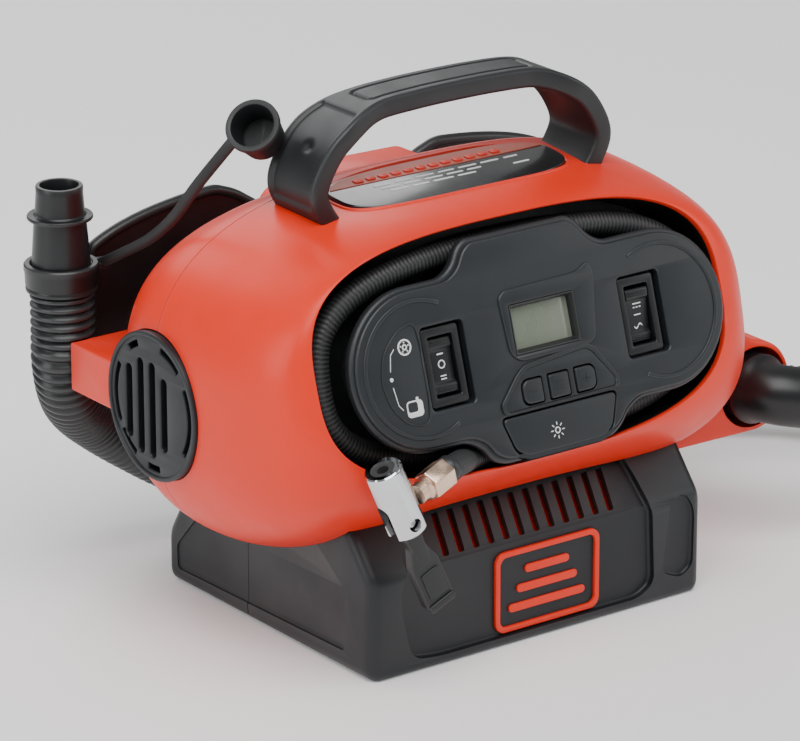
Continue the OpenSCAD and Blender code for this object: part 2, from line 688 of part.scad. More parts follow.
module cylinder_body() {
    cylinder(r = piston_r + 3, h = cyl_h);
    for (i = [0:5]) translate([0, 0, 3 + 4 * i]) cylinder(r = piston_r + 6, h = 1.6);
}
module cylinder_part() color([0.7, 0.71, 0.73]) translate([cyl_x, motor_y, cyl_low]) difference() {
    cylinder_body();
    translate([0, 0, -over]) cylinder(r = piston_r, h = cyl_h + 2);
}
module cylinder_head() color([0.6, 0.61, 0.63]) translate([cyl_x, motor_y, cyl_low + cyl_h]) {
    cylinder(r = piston_r + 5, h = 5);
    translate([8, -4, 1]) cube([16, 8, 3]);
}

// ---- blower ----
blower_x = 34;
blower_at = [10, 100];
module blower_motor() color([0.6, 0.62, 0.63]) along_x(blower_x, blower_at[0], blower_at[1]) difference() {
    cylinder(r = 16, h = 32);
    translate([0, 0, 25]) cylinder(r = 3, h = 20);
}
module blower_impeller() color(near_black) along_x(blower_x + 33, blower_at[0], blower_at[1]) {
    translate([0, 0, -7]) cylinder(r = 2.6, h = 8);
    cylinder(r = 27, h = 2);
    for (i = [0:9]) rotate([0, 0, 36 * i]) translate([9, -0.8, 1]) cube([17, 1.6, 13]);
    cylinder(r = 9, h = 12);
}
module blower_scroll() color(charcoal) along_x(blower_x + 32.2, blower_at[0], blower_at[1]) difference() {
    union() {
        cylinder(r = 33, h = 22);
        rotate([0, 0, 180]) translate([-34, -33, 4]) cube([34, 30, 16]);
    }
    translate([0, 0, 0.4 - over]) cylinder(r = 30, h = 18);
    translate([0, 0, 15]) cylinder(r = 14, h = 12);
}

// ---- electronics in the base ----
module power_board() color([0.1, 0.35, 0.2]) {
    box([-60, -44, 12], [62, 44, 13.6]);
    for (x = [-40, -20, 0]) translate([x, 24, 13.6]) cylinder(r = 6, h = 18);
    box([-50, -20, 13.6], [-20, 4, 24]);
    for (x = [-55, 57], y = [-38, 38]) translate([x, y, base_in - 0.1]) cylinder(r = 3, h = 12.2 - base_in);
}
module transformer() color([0.5, 0.45, 0.2]) {
    box([8, -30, 13.6], [50, 10, 38]);
    box([14, -36, 18], [44, 16, 34]);
}

front_shell();
rear_shell();
port_socket();
end_grille();
base_front();
base_rear();
base_feet();
front_emblem();
handle();
label_plate();
label_stripe();
control_panel();
panel_hub();
display_window();
display_module();
power_switch_frame();
power_rocker();
source_switch_frame();
source_rocker();
button_minus();
button_mode();
button_plus();
light_button();
button_board();
cord_hub();
cord_flange();
hose_bracket();
nozzle();
nozzle_collar();
cap_strap();
nozzle_cap();
blower_hose();
hose_elbow();
air_hose_coil();
air_hose_tail();
hose_ferrule();
chuck_barrel();
chuck_seal();
chuck_pin();
chuck_lever();
motor_can();
motor_shaft();
drive_pinion();
cooling_fan();
crank_gear();
crank_shaft();
compressor_frame();
piston_rod();
cylinder_part();  // cylinder
cylinder_head();
blower_motor();
blower_impeller();
blower_scroll();
power_board();
transformer();
shell_screws();
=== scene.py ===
import math

import bmesh
import bpy
from mathutils import Matrix, Vector
from mathutils.bvhtree import BVHTree


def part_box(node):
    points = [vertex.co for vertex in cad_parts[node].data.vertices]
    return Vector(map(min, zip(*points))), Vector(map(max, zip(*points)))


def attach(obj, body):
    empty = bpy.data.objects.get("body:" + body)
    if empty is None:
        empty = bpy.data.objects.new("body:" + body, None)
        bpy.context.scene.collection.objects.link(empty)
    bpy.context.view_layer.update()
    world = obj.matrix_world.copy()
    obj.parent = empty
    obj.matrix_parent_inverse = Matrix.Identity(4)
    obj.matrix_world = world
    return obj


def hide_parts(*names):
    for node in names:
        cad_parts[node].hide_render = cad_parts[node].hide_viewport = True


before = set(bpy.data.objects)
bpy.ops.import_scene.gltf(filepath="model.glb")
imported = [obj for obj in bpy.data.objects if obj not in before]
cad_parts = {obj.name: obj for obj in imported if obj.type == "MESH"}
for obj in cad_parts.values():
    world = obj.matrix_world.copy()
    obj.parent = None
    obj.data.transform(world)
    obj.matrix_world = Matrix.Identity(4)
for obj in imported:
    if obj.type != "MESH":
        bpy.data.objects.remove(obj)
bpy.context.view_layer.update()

# Lengths below are in millimetres, and MM turns them into Blender's metres.
MM = 0.001
scene = bpy.context.scene
fine = 1


# ---- small mathematics ----
def spow(value, power):
    """A power that keeps the sign."""
    return math.copysign(abs(value) ** power, value)


def mix(a, b, f):
    """The value a share f of the way from a to b."""
    return a + (b - a) * f


def ease(x):
    """A smooth step from 0 to 1."""
    x = min(max(x, 0.0), 1.0)
    return x * x * (3 - 2 * x)


def oval(centre, half, fullness, degrees):
    """A point on a superellipse."""
    turn = math.radians(degrees)
    return (centre[0] + half[0] * spow(math.cos(turn), 2 / fullness),
            centre[1] + half[1] * spow(math.sin(turn), 2 / fullness))


def oval_loop(centre, half, fullness, count=120):
    return [oval(centre, half, fullness, 360 * i / count) for i in range(count)]


def circle_loop(centre, radius, count=64):
    return oval_loop(centre, (radius, radius), 2, count)


def arc(centre, radius, start, end, count=10):
    """Points along a circle's arc, from start to end in degrees."""
    turns = [math.radians(mix(start, end, i / count)) for i in range(count + 1)]
    return [(centre[0] + radius * math.cos(a), centre[1] + radius * math.sin(a)) for a in turns]


def box_loop(centre, size, radius, count=6):
    """A rectangle with round corners, counter-clockwise."""
    x, y = size[0] / 2 - radius, size[1] / 2 - radius
    corners = [(x, y, 0), (-x, y, 90), (-x, -y, 180), (x, -y, 270)]
    return [p for cx, cy, a in corners
            for p in arc((centre[0] + cx, centre[1] + cy), radius, a, a + 90, count)]


def bent(a, middle, b, f):
    """A point on the curve from a to b that leans towards a middle point."""
    return a * (1 - f) ** 2 + middle * 2 * f * (1 - f) + b * f * f


def round_corners(points, radius, count=5):
    """A closed outline with each corner rounded off."""
    loop = []
    for i, here in enumerate(points):
        here = Vector(here)
        before, after = Vector(points[i - 1]), Vector(points[(i + 1) % len(points)])
        back, ahead = before - here, after - here
        reach = min(radius, back.length * 0.45, ahead.length * 0.45)
        a, b = here + back.normalized() * reach, here + ahead.normalized() * reach
        loop += [tuple(bent(a, here, b, j / count)) for j in range(count + 1)]
    return loop


def smooth_path(points, step):
    """A smooth curve through every point, as points a constant step apart."""
    points = [Vector(p) for p in points]
    last, per_span = len(points) - 1, 40
    dense = []
    for i in range(last):
        a, b = points[max(i - 1, 0)], points[i]
        c, d = points[i + 1], points[min(i + 2, last)]
        for j in range(per_span):
            f = j / per_span
            dense.append(0.5 * (2 * b + (c - a) * f + (2 * a - 5 * b + 4 * c - d) * f * f
                                + (3 * b - a - 3 * c + d) * f ** 3))
    dense.append(points[-1])
    return even_path(dense, step)


def even_path(dense, step):
    """The same path with its points a constant step apart."""
    reach = [0.0]
    for a, b in zip(dense, dense[1:]):
        reach.append(reach[-1] + (b - a).length)
    count = max(2, round(reach[-1] / step))
    path, k = [], 0
    for i in range(count + 1):
        goal = reach[-1] * i / count
        while k < len(dense) - 2 and reach[k + 1] < goal:
            k += 1
        span = reach[k + 1] - reach[k]
        path.append(dense[k].lerp(dense[k + 1], (goal - reach[k]) / span if span else 0.0))
    return path


def path_length(path):
    return sum((b - a).length for a, b in zip(path, path[1:]))


# ---- materials ----
def new_material(name):
    """A fresh material with its node tree, its shader and the object's own coordinates."""
    material = bpy.data.materials.new(name)
    material.use_nodes = True
    tree = material.node_tree
    shader = tree.nodes["Principled BSDF"]
    place = tree.nodes.new("ShaderNodeTexCoord").outputs["Object"]
    return material, tree, shader, place


def noise(tree, place, size_mm, detail=3.0, stretch=(1, 1, 1)):
    """Noise whose blotches are about size_mm across."""
    mapping = tree.nodes.new("ShaderNodeMapping")
    mapping.inputs["Scale"].default_value = stretch
    tree.links.new(place, mapping.inputs["Vector"])
    texture = tree.nodes.new("ShaderNodeTexNoise")
    texture.inputs["Scale"].default_value = 1000 / size_mm
    texture.inputs["Detail"].default_value = detail
    tree.links.new(mapping.outputs["Vector"], texture.inputs["Vector"])
    return texture.outputs["Fac"]


def remap(tree, value, low, high, to_low, to_high):
    """The value stretched from one range to another."""
    node = tree.nodes.new("ShaderNodeMapRange")
    for key, number in (("From Min", low), ("From Max", high), ("To Min", to_low), ("To Max", to_high)):
        node.inputs[key].default_value = number
    tree.links.new(value, node.inputs["Value"])
    return node.outputs["Result"]


def blend_colour(tree, factor, a, b):
    """Mixes two colours, each a fixed colour or another node's output."""
    node = tree.nodes.new("ShaderNodeMix")
    node.data_type = "RGBA"
    for key, colour in (("A", a), ("B", b)):
        socket = [s for s in node.inputs if s.name == key and s.type == "RGBA"][0]
        if isinstance(colour, tuple):
            socket.default_value = (*colour, 1)
        else:
            tree.links.new(colour, socket)
    tree.links.new(factor, [s for s in node.inputs if s.name == "Factor" and s.type == "VALUE"][0])
    return [s for s in node.outputs if s.type == "RGBA"][0]


def add_bump(tree, shader, height, strength, depth_mm, under=None):
    node = tree.nodes.new("ShaderNodeBump")
    node.inputs["Strength"].default_value = strength
    node.inputs["Distance"].default_value = depth_mm * MM
    tree.links.new(height, node.inputs["Height"])
    if under:
        tree.links.new(under, node.inputs["Normal"])
    tree.links.new(node.outputs["Normal"], shader.inputs["Normal"])
    return node.outputs["Normal"]


def tinted(colour, amount):
    """The colour made lighter or darker."""
    return tuple(min(1.0, c * amount) for c in colour)


def worn_edges(tree, wear):
    """Rises from 0 on flat work to wear along outer edges."""
    point = tree.nodes.new("ShaderNodeNewGeometry").outputs["Pointiness"]
    return remap(tree, point, 0.52, 0.62, 0, wear)


def plastic(name, colour, rough, grain_mm=0.5, grain=0.25, coat=0.0, wear=0.35, tone=0.10, shine=0.5):
    """Moulded plastic or rubber: slow changes of tone, a fine moulded grain and paler edges."""
    material, tree, shader, place = new_material(name)
    cloud = noise(tree, place, 45, 4)
    base = blend_colour(tree, cloud, tinted(colour, 1 - tone), tinted(colour, 1 + tone))
    edge = worn_edges(tree, wear)
    pale = tuple(mix(c, 0.5, 0.35) for c in colour)
    tree.links.new(blend_colour(tree, edge, base, pale), shader.inputs["Base Color"])
    smear = noise(tree, place, 18, 5)
    tree.links.new(remap(tree, smear, 0.3, 0.7, rough - 0.05, rough + 0.07), shader.inputs["Roughness"])
    shader.inputs["Specular IOR Level"].default_value = shine
    shader.inputs["Coat Weight"].default_value = coat
    shader.inputs["Coat Roughness"].default_value = 0.12
    ripple = add_bump(tree, shader, noise(tree, place, 9, 2), 0.12, 0.12)
    add_bump(tree, shader, noise(tree, place, grain_mm, 2), grain, 0.04, ripple)
    return material


def metal(name, colour, rough, scratch):
    """Metal with fine drawn scratches and slightly dulled patches."""
    material, tree, shader, place = new_material(name)
    shader.inputs["Metallic"].default_value = 1.0
    cloud = noise(tree, place, 12, 4)
    base = blend_colour(tree, cloud, tinted(colour, 0.9), tinted(colour, 1.06))
    edge = worn_edges(tree, 0.2)
    tree.links.new(blend_colour(tree, edge, base, (0.95, 0.94, 0.92)), shader.inputs["Base Color"])
    patch = noise(tree, place, 6, 6)
    tree.links.new(remap(tree, patch, 0.3, 0.7, rough * 0.7, rough * 1.5), shader.inputs["Roughness"])
    add_bump(tree, shader, noise(tree, place, 1.2, 4, scratch), 0.06, 0.03)
    return material


def display_glass(name):
    """A dull grey-green liquid-crystal display behind a clear window."""
    material, tree, shader, place = new_material(name)
    speckle = noise(tree, place, 0.7, 2)
    cloud = noise(tree, place, 14, 2)
    base = blend_colour(tree, speckle, (0.120, 0.145, 0.105), (0.160, 0.185, 0.135))
    tree.links.new(blend_colour(tree, cloud, base, (0.165, 0.185, 0.145)), shader.inputs["Base Color"])
    tree.links.new(remap(tree, cloud, 0.3, 0.7, 0.22, 0.34), shader.inputs["Roughness"])
    shader.inputs["Coat Weight"].default_value = 0.6
    shader.inputs["Coat Roughness"].default_value = 0.05
    return material


def circuit_board(name):
    """Green lacquer over a grid of fine tracks."""
    material, tree, shader, place = new_material(name)
    tracks = tree.nodes.new("ShaderNodeTexBrick")
    tracks.inputs["Scale"].default_value = 160
    tracks.inputs["Color1"].default_value = (0.012, 0.10, 0.035, 1)
    tracks.inputs["Color2"].default_value = (0.018, 0.13, 0.045, 1)
    tracks.inputs["Mortar"].default_value = (0.05, 0.22, 0.08, 1)
    tree.links.new(place, tracks.inputs["Vector"])
    tree.links.new(tracks.outputs["Color"], shader.inputs["Base Color"])
    shader.inputs["Roughness"].default_value = 0.35
    add_bump(tree, shader, tracks.outputs["Fac"], 0.3, 0.05)
    return material


ORANGE = plastic("orange_shell", (0.80, 0.026, 0.004), 0.38, 0.7, 0.10, coat=0.04, wear=0.20, tone=0.04,
                 shine=0.36)
LABEL_TINT = plastic("orange_tint", (0.50, 0.085, 0.05), 0.42, 0.6, 0.25, wear=0.1)
CHARCOAL = plastic("charcoal_case", (0.0075, 0.0100, 0.0125), 0.42, 0.45, 0.40, wear=0.22, shine=0.42)
HANDLE = plastic("charcoal_grip", (0.012, 0.0135, 0.015), 0.42, 0.45, 0.35, wear=0.25)
PANEL = plastic("panel_charcoal", (0.0125, 0.0155, 0.0185), 0.42, 0.40, 0.35, wear=0.30)
BLACK = plastic("satin_black", (0.006, 0.007, 0.008), 0.38, 0.5, 0.25, wear=0.22)
GLOSS = plastic("label_black", (0.012, 0.014, 0.015), 0.20, 1.2, 0.06, coat=0.7, wear=0.05)
RUBBER = plastic("soft_rubber", (0.010, 0.011, 0.012), 0.50, 0.35, 0.35, wear=0.2)
HOSE = plastic("ribbed_hose", (0.010, 0.012, 0.013), 0.36, 0.5, 0.2, wear=0.45)
AIR_HOSE = plastic("air_hose_rubber", (0.014, 0.015, 0.016), 0.50, 0.4, 0.3, wear=0.55)
WHITE = plastic("white_print", (0.72, 0.73, 0.73), 0.5, 0.3, 0.2, wear=0.0, tone=0.06)
DIM_PRINT = plastic("dark_print", (0.010, 0.011, 0.012), 0.6, 0.3, 0.2, wear=0.0)
NYLON = plastic("gear_nylon", (0.62, 0.60, 0.52), 0.45, 0.5, 0.2)
CHROME = metal("chrome_plate", (0.66, 0.67, 0.69), 0.07, (1, 1, 1))
COPPER = metal("ferrule_brass", (0.80, 0.56, 0.42), 0.30, (1, 14, 1))
STEEL = metal("turned_steel", (0.52, 0.53, 0.54), 0.32, (10, 1, 1))
CAST = metal("cast_alloy", (0.55, 0.56, 0.57), 0.45, (1, 1, 1))
GLASS = display_glass("display_face")
BOARD = circuit_board("board_lacquer")


# ---- making pieces ----
def add_piece(name, mesh, *materials, body="housing", angle=38, slot=None, nodes=()):
    """Puts a finished mesh on a CAD body, standing for CAD nodes."""
    piece = bpy.data.objects.new(name, mesh)
    scene.collection.objects.link(piece)
    for material in materials:
        mesh.materials.append(material)
    mesh.shade_smooth()
    mesh.set_sharp_from_angle(angle=math.radians(angle))
    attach(piece, body)
    if nodes:
        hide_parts(*nodes)
    return piece


def tidy(mesh):
    """Joins doubled points and turns every face outward."""
    work = bmesh.new()
    work.from_mesh(mesh)
    bmesh.ops.remove_doubles(work, verts=work.verts, dist=1e-6)
    bmesh.ops.recalc_face_normals(work, faces=work.faces)
    work.to_mesh(mesh)
    work.free()
    return mesh


def loft(name, rings, tones=None, caps=True):
    """A closed skin over rings of points, with one material number for each band between two rings."""
    count = len(rings[0])
    points = [Vector(p) * MM for ring in rings for p in ring]
    faces, numbers = [], []
    for j in range(len(rings) - 1):
        for i in range(count):
            k = (i + 1) % count
            faces.append((j * count + i, j * count + k, (j + 1) * count + k, (j + 1) * count + i))
            numbers.append(tones[j] if tones else 0)
    if caps:
        faces.append(tuple(range(count)))
        faces.append(tuple((len(rings) - 1) * count + i for i in range(count)))
        numbers += [tones[0], tones[-1]] if tones else [0, 0]
    mesh = bpy.data.meshes.new(name)
    mesh.from_pydata(points, [], faces)
    mesh.polygons.foreach_set("material_index", numbers)
    return tidy(mesh)


def plate_mesh(name, loops, low, high, edge, place, bevel_steps=3):
    """Flat work with rounded edges: the first loop is its outline and the others are holes."""
    curve = bpy.data.curves.new(name, "CURVE")
    curve.dimensions = "2D"
    curve.fill_mode = "BOTH"
    curve.extrude = (high - low) / 2 - edge
    curve.bevel_depth = edge
    curve.bevel_resolution = bevel_steps
    curve.offset = -edge
    for number, loop in enumerate(loops):
        area = sum(a[0] * b[1] - b[0] * a[1] for a, b in zip(loop, loop[1:] + loop[:1]))
        if (area > 0) == (number > 0):
            loop = loop[::-1]
        spline = curve.splines.new("POLY")
        spline.points.add(len(loop) - 1)
        for point, (x, y) in zip(spline.points, loop):
            point.co = (x, y, 0, 1)
        spline.use_cyclic_u = True
    holder = bpy.data.objects.new(name, curve)
    scene.collection.objects.link(holder)
    mesh = bpy.data.meshes.new_from_object(holder.evaluated_get(bpy.context.evaluated_depsgraph_get()))
    bpy.data.objects.remove(holder)
    bpy.data.curves.remove(curve)
    mesh.materials.clear()
    mesh.transform(place @ Matrix.Translation((0, 0, (low + high) / 2)))
    mesh.name = name
    return tidy(mesh)


def plate(name, loops, low, high, edge, place, material, **says):
    """Flat work as a finished piece."""
    mesh = plate_mesh(name, loops, low, high, edge, place)
    return add_piece(name, mesh, material, angle=30, **says)


def lathe(name, profile, place, count=64):
    """A turned shape: profile is (radius, height) points along a closed or open line."""
    rings = []
    for radius, height in profile:
        ring = [Vector((radius * math.cos(2 * math.pi * i / count),
                        radius * math.sin(2 * math.pi * i / count), height)) for i in range(count)]
        rings.append([tuple(place @ p / MM) for p in ring])
    return loft(name, rings, caps=profile[0] != profile[-1])


def ring_round(centre, side, over, sides):
    """Points round a centre, on the ellipse that side and over reach to."""
    turns = [2 * math.pi * k / sides for k in range(sides)]
    return [centre + side * math.cos(a) + over * math.sin(a) for a in turns]


def tube_rings(path, radius_at, sides, squash_to=1.0, up=None):
    """Rings of points round a path; radius_at gives the radius at a distance along it."""
    rings, reach = [], 0.0
    side = None
    for i, here in enumerate(path):
        ahead = (path[min(i + 1, len(path) - 1)] - path[max(i - 1, 0)]).normalized()
        if side is None:
            side = ahead.cross(up or (Vector((0, 0, 1)) if abs(ahead.z) < 0.9 else Vector((0, 1, 0))))
        side = (side - ahead * side.dot(ahead)).normalized()
        over = ahead.cross(side)
        if i:
            reach += (here - path[i - 1]).length
        radius = radius_at(reach)
        rings.append(ring_round(here, side * radius, over * radius * squash_to, sides))
    return rings


def bake(piece):
    """Turns the piece's modifiers into its mesh."""
    mesh = bpy.data.meshes.new_from_object(piece.evaluated_get(bpy.context.evaluated_depsgraph_get()))
    piece.modifiers.clear()
    piece.data = mesh


def cut(mesh, cutters, solver="EXACT"):
    """The mesh with each cutter mesh taken away."""
    holder = bpy.data.objects.new("cutting", mesh)
    scene.collection.objects.link(holder)
    tools = []
    for cutter in cutters:
        tool = bpy.data.objects.new("cutter", cutter)
        scene.collection.objects.link(tool)
        tools.append(tool)
        modifier = holder.modifiers.new("cut", "BOOLEAN")
        modifier.operation = "DIFFERENCE"
        modifier.solver = solver
        modifier.object = tool
    bake(holder)
    mesh = holder.data
    if solver == "MANIFOLD":
        mesh.materials.clear()
    for old in tools + [holder]:
        bpy.data.objects.remove(old)
    return mesh


def spun(degrees, axis):
    return Matrix.Rotation(math.radians(degrees), 4, axis)


def moved(point):
    """A move by a distance in millimetres."""
    return Matrix.Translation(Vector(point) * MM)


def axes(origin, x_axis, y_axis):
    """A placing matrix in metres for flat work drawn in millimetres."""
    x_axis, y_axis = Vector(x_axis).normalized(), Vector(y_axis).normalized()
    turn = Matrix((x_axis, y_axis, x_axis.cross(y_axis))).transposed().to_4x4()
    return moved(origin) @ turn @ Matrix.Scale(MM, 4)


# ---- the camera, at the photo's angle ----
camera_data = bpy.data.cameras.new("camera")
camera = bpy.data.objects.new("camera", camera_data)
scene.collection.objects.link(camera)
scene.camera = camera
camera_data.sensor_width = 36
camera_data.lens = 225
camera_data.shift_x = -0.0416
camera_data.shift_y = -0.0240
camera_data.clip_end = 50
camera.location = (-1.1334, -1.5094, 0.7610)
camera.rotation_euler = Vector((0.5667, 0.7547, -0.3305)).to_track_quat("-Z", "Y").to_euler()

# ---- shared places ----
TILT = math.radians(17)
PANEL_AT = Vector((0, -72.5, 123))
PANEL_UP = Vector((0, math.sin(TILT), math.cos(TILT)))
PANEL_OUT = Vector((0, -math.cos(TILT), math.sin(TILT)))
PANEL_PLACE = axes(PANEL_AT, (1, 0, 0), PANEL_UP)
BODY_L, BODY_H, BODY_Z = 126.5, 76.5, 102
SEAM_Y = 13
RIM_C, RIM_HALF, RIM_N = (-6.2, 4.8), (99.2, 47.8), -4
REAR_Y, REAR_HALF = 54, (94, 46)
WALL = 2.6
RECESS = 30
HOSE_X, HOSE_Y = -122, 83
NOZZLE_Z = 136


def on_plane(u, v, n=0.0):
    """A point on the panel's plane, n in front of it."""
    return PANEL_AT + Vector((u, 0, 0)) + PANEL_UP * v + PANEL_OUT * n


# ---- cords: the blower hose and the air hose ----
BLOWER_D = 26
AIR_D = 10
blower_route = [(HOSE_X, HOSE_Y, 128.4), (HOSE_X, HOSE_Y, 112), (-121.5, 84, 99), (-116.5, 89, 85),
                (-107, 98, 73), (-93, 106, 61), (-75, 108, 47.5), (-51, 108, 32), (-25, 107, 23),
                (15, 106, 19), (60, 104, 18), (105, 98, 18), (150, 90, 18), (193, 74, 18.5),
                (225, 52, 18.5), (243, 22, 20), (249, -12, 27), (238, -42, 38), (214, -60, 49),
                (186, -63, 55), (162, -56, 60)]
COIL_C, COIL_HALF = (-5, 4), (90.3, 38.9)
tail_plane = [(-10, -35, -14.5), (-22, -36, -13.5), (-33.5, -37, -12), (-41, -37, -8.5), (-47, -36.4, -3),
              (-54, -36.6, 1.8), (-60.4, -37.2, 5.4)]


def hose_skin(name, path, diameter, pitch, depth, sides):
    """A corrugated tube: its radius rises and falls once each pitch."""
    def radius(reach):
        wave = 0.5 - 0.5 * math.cos(2 * math.pi * reach / pitch)
        return diameter / 2 - depth * (1 - wave) ** 1.6
    return loft(name, tube_rings(path, radius, sides))


def make_blower_hose():
    """The corrugated hose, and the path that it follows."""
    pitch = 3.7
    path = smooth_path(blower_route, pitch / (8 if fine else 4))
    hose = add_piece("blower_hose_ribbed", hose_skin("blower_hose", path, BLOWER_D, pitch, 1.5, 40), HOSE,
                     angle=60, nodes=["blower_hose"])
    return hose, path


def air_hose_path():
    """One and a half turns round the recess, dropping to the front, and then out to the fitting."""
    start = [on_plane(-36, 33, -28.5), on_plane(-24, 41, -26)]
    count, sweep, back, front = 40, 540, -24.8, -13.6
    turns = []
    for i in range(count):
        f = i / count
        u, v = oval(COIL_C, COIL_HALF, 2.8, 90 - sweep * f)
        turns.append(on_plane(u, v, mix(back, front, ease((f - 0.33) / 0.3))))
    return start + turns + [on_plane(*p) for p in tail_plane]


def make_air_hose():
    """The thin wound hose, and the path that it follows."""
    path = smooth_path(air_hose_path(), 0.45 if fine else 1.0)
    hose = add_piece("air_hose_wound", hose_skin("air_hose", path, AIR_D, 1.8, 0.35, 20), AIR_HOSE,
                     angle=60, nodes=["air_hose_coil", "air_hose_tail"])
    return hose, path


blower_hose, blower_path = make_blower_hose()
air_hose, air_path = make_air_hose()


# ---- the pieces on the blower hose ----
def make_nozzle():
    """The stepped nozzle, open right through."""
    place = moved((HOSE_X, HOSE_Y, NOZZLE_Z)) @ Matrix.Scale(MM, 4)
    wall = 1.6
    outside = [(11.7, 0), (11.9, 0.6), (11.8, 4), (10.5, 21.6), (11.2, 22.2), (12.9, 22.3), (13.2, 22.7),
               (13.2, 23.4), (12.9, 23.8), (10.6, 24.0), (10.0, 24.6), (9.4, 33), (9.5, 35.5), (9.2, 36)]
    inside = [(9.5 - wall, 36), (9.3 - wall, 35.4), (9.4 - wall, 25), (10.4 - wall, 20), (11.4 - wall, 0)]
    mesh = lathe("nozzle", outside + inside + outside[:1], place, 72)
    return add_piece("blower_nozzle", mesh, BLACK, nodes=["nozzle"])


def make_collar():
    """The nozzle's collar: a ring, and an ear that the strap hangs on."""
    place = moved((HOSE_X, HOSE_Y, NOZZLE_Z - 7.5)) @ Matrix.Scale(MM, 4)
    profile = [(10.4, 0), (13.8, 0), (14.3, 0.4), (14.5, 1.4), (14.1, 2.2), (14.5, 3.0), (14.7, 8.2),
               (15.0, 8.8), (15.0, 10.9), (14.5, 11.5), (12.7, 11.5), (12.2, 11.1), (12.0, 9.5),
               (10.4, 9.5), (10.4, 0)]
    ring = lathe("collar", profile, place, 72)
    ear_loop = round_corners([(9, -9), (19, -8.4), (19.8, -5), (18.6, -1.4), (9, 0)], 2)
    ear = plate_mesh("ear", [ear_loop, circle_loop((16.4, -4.8), 1.1, 24)], 7.7, 10.9, 0.7, place)
    return [add_piece("nozzle_collar_" + name, mesh, BLACK, nodes=["nozzle_collar"])
            for name, mesh in (("ring", ring), ("ear", ear))]


CAP_AT, CAP_TURN = Vector((-82, 6, 207)), (52, 0, -58)
strap_route = [(-108, 76, 138.5), (-104.5, 66, 144.5), (-100, 52, 153.5), (-98, 38, 165.5), (-96, 24, 182),
               (-90, 9, 201.5)]


def make_cap():
    """The nozzle's cap, a round cup with a rolled rim."""
    turn = spun(CAP_TURN[2], "Z") @ spun(CAP_TURN[0], "X")
    place = moved(CAP_AT) @ turn @ Matrix.Scale(MM, 4)
    profile = [(0.01, -14), (6.6, -14), (8.0, -13.7), (8.6, -12.8), (10.2, -1.2), (10.9, -0.6), (11.0, 0),
               (11.0, 1.3), (10.7, 1.9), (9.4, 2), (8.8, 1.7), (8.6, 1.0), (7.6, -10.4), (7.0, -11),
               (0.01, -11)]
    mesh = lathe("cap", profile, place, 72)
    return add_piece("nozzle_cap_cup", mesh, RUBBER, nodes=["nozzle_cap"])


def make_strap():
    """The flat strap from the collar to the cap."""
    path = smooth_path(strap_route, 1.0)
    rings = tube_rings(path, lambda reach: 2.3, 16, 0.42, Vector((0.6, 0.8, 0.1)))
    return add_piece("cap_strap_band", loft("strap", rings), RUBBER, nodes=["cap_strap"])


SOCKET_AT, SOCKET_R, SOCKET_BORE, SOCKET_LEN = (139, -35, 65), 19.6, 17.6, 44
SOCKET_PLACE = axes(SOCKET_AT, (1, 0, 0), (0, 0, -1))


def make_elbow():
    """The smooth cuff that turns from the port into the hose."""
    x, y, z = SOCKET_AT
    route = [(x, y + 24, z), (x, y + 4, z), (x, y - 5, z), (x + 2.5, y - 11.5, z - 0.5),
             (x + 9, y - 16, z - 1.8), (x + 17, y - 19.3, z - 3.2), (x + 24.5, y - 21.5, z - 4.4)]
    path = smooth_path(route, 0.8)
    total = path_length(path)

    def radius(reach):
        lip = 1.1 * math.exp(-((reach - 27) / 1.6) ** 2)
        return mix(14.4, 12.6, ease((reach - 22) / 14)) + lip + 0.8 * ease((reach - total + 5) / 3)
    return add_piece("port_elbow", loft("elbow", tube_rings(path, radius, 64)), BLACK, nodes=["hose_elbow"])


# ---- the pieces on the air hose ----
CHUCK_TOP, CHUCK_LEN, CHUCK_R, CHUCK_LEAN = Vector((-91.6, -90, 97.6)), 30, 7.7, 24
# Turns flat work so that its own x, y and outward axes lie along y, z and x
ACROSS = spun(90, "X") @ spun(90, "Y")
CHUCK_PLACE = (moved(CHUCK_TOP) @ spun(180 - CHUCK_LEAN, "Y")
               @ Matrix.Scale(MM, 4))
PIN_PLACE = (CHUCK_PLACE @ Matrix.Translation((0, 0, CHUCK_LEN - 5))
             @ spun(90, "X"))
FERRULE_AT = Vector((-60.5, -88.5, 89))
FERRULE_PLACE = (moved(FERRULE_AT) @ spun(12, "Z")
                 @ spun(-106, "Y") @ Matrix.Scale(MM, 4))


def make_ferrule():
    """The crimped nut, its stem and its sleeve."""
    hexagon = [(6.4 * math.cos(math.pi * i / 3), 6.4 * math.sin(math.pi * i / 3)) for i in range(6)]
    nut = plate_mesh("nut", [round_corners(hexagon, 0.6, 2)], 0, 11.5, 0.7, FERRULE_PLACE)
    stem = lathe("stem", [(0.01, 11), (4.6, 11), (4.9, 11.6), (4.9, 13.0), (4.0, 13.6), (4.0, 17.2),
                          (0.01, 17.2)], FERRULE_PLACE, 40)
    sleeve = lathe("sleeve", [(0.01, -3.4), (5.2, -3.4), (5.5, -3.0), (5.5, -0.3), (5.2, 0.2), (0.01, 0.2)],
                   FERRULE_PLACE, 40)
    return [add_piece("hose_" + name, mesh, material, angle=angle, nodes=["hose_ferrule"], slot="brass")
            for name, mesh, material, angle in (("nut", nut, COPPER, 25), ("stem", stem, COPPER, 38),
                                                ("sleeve", sleeve, BLACK, 38))]


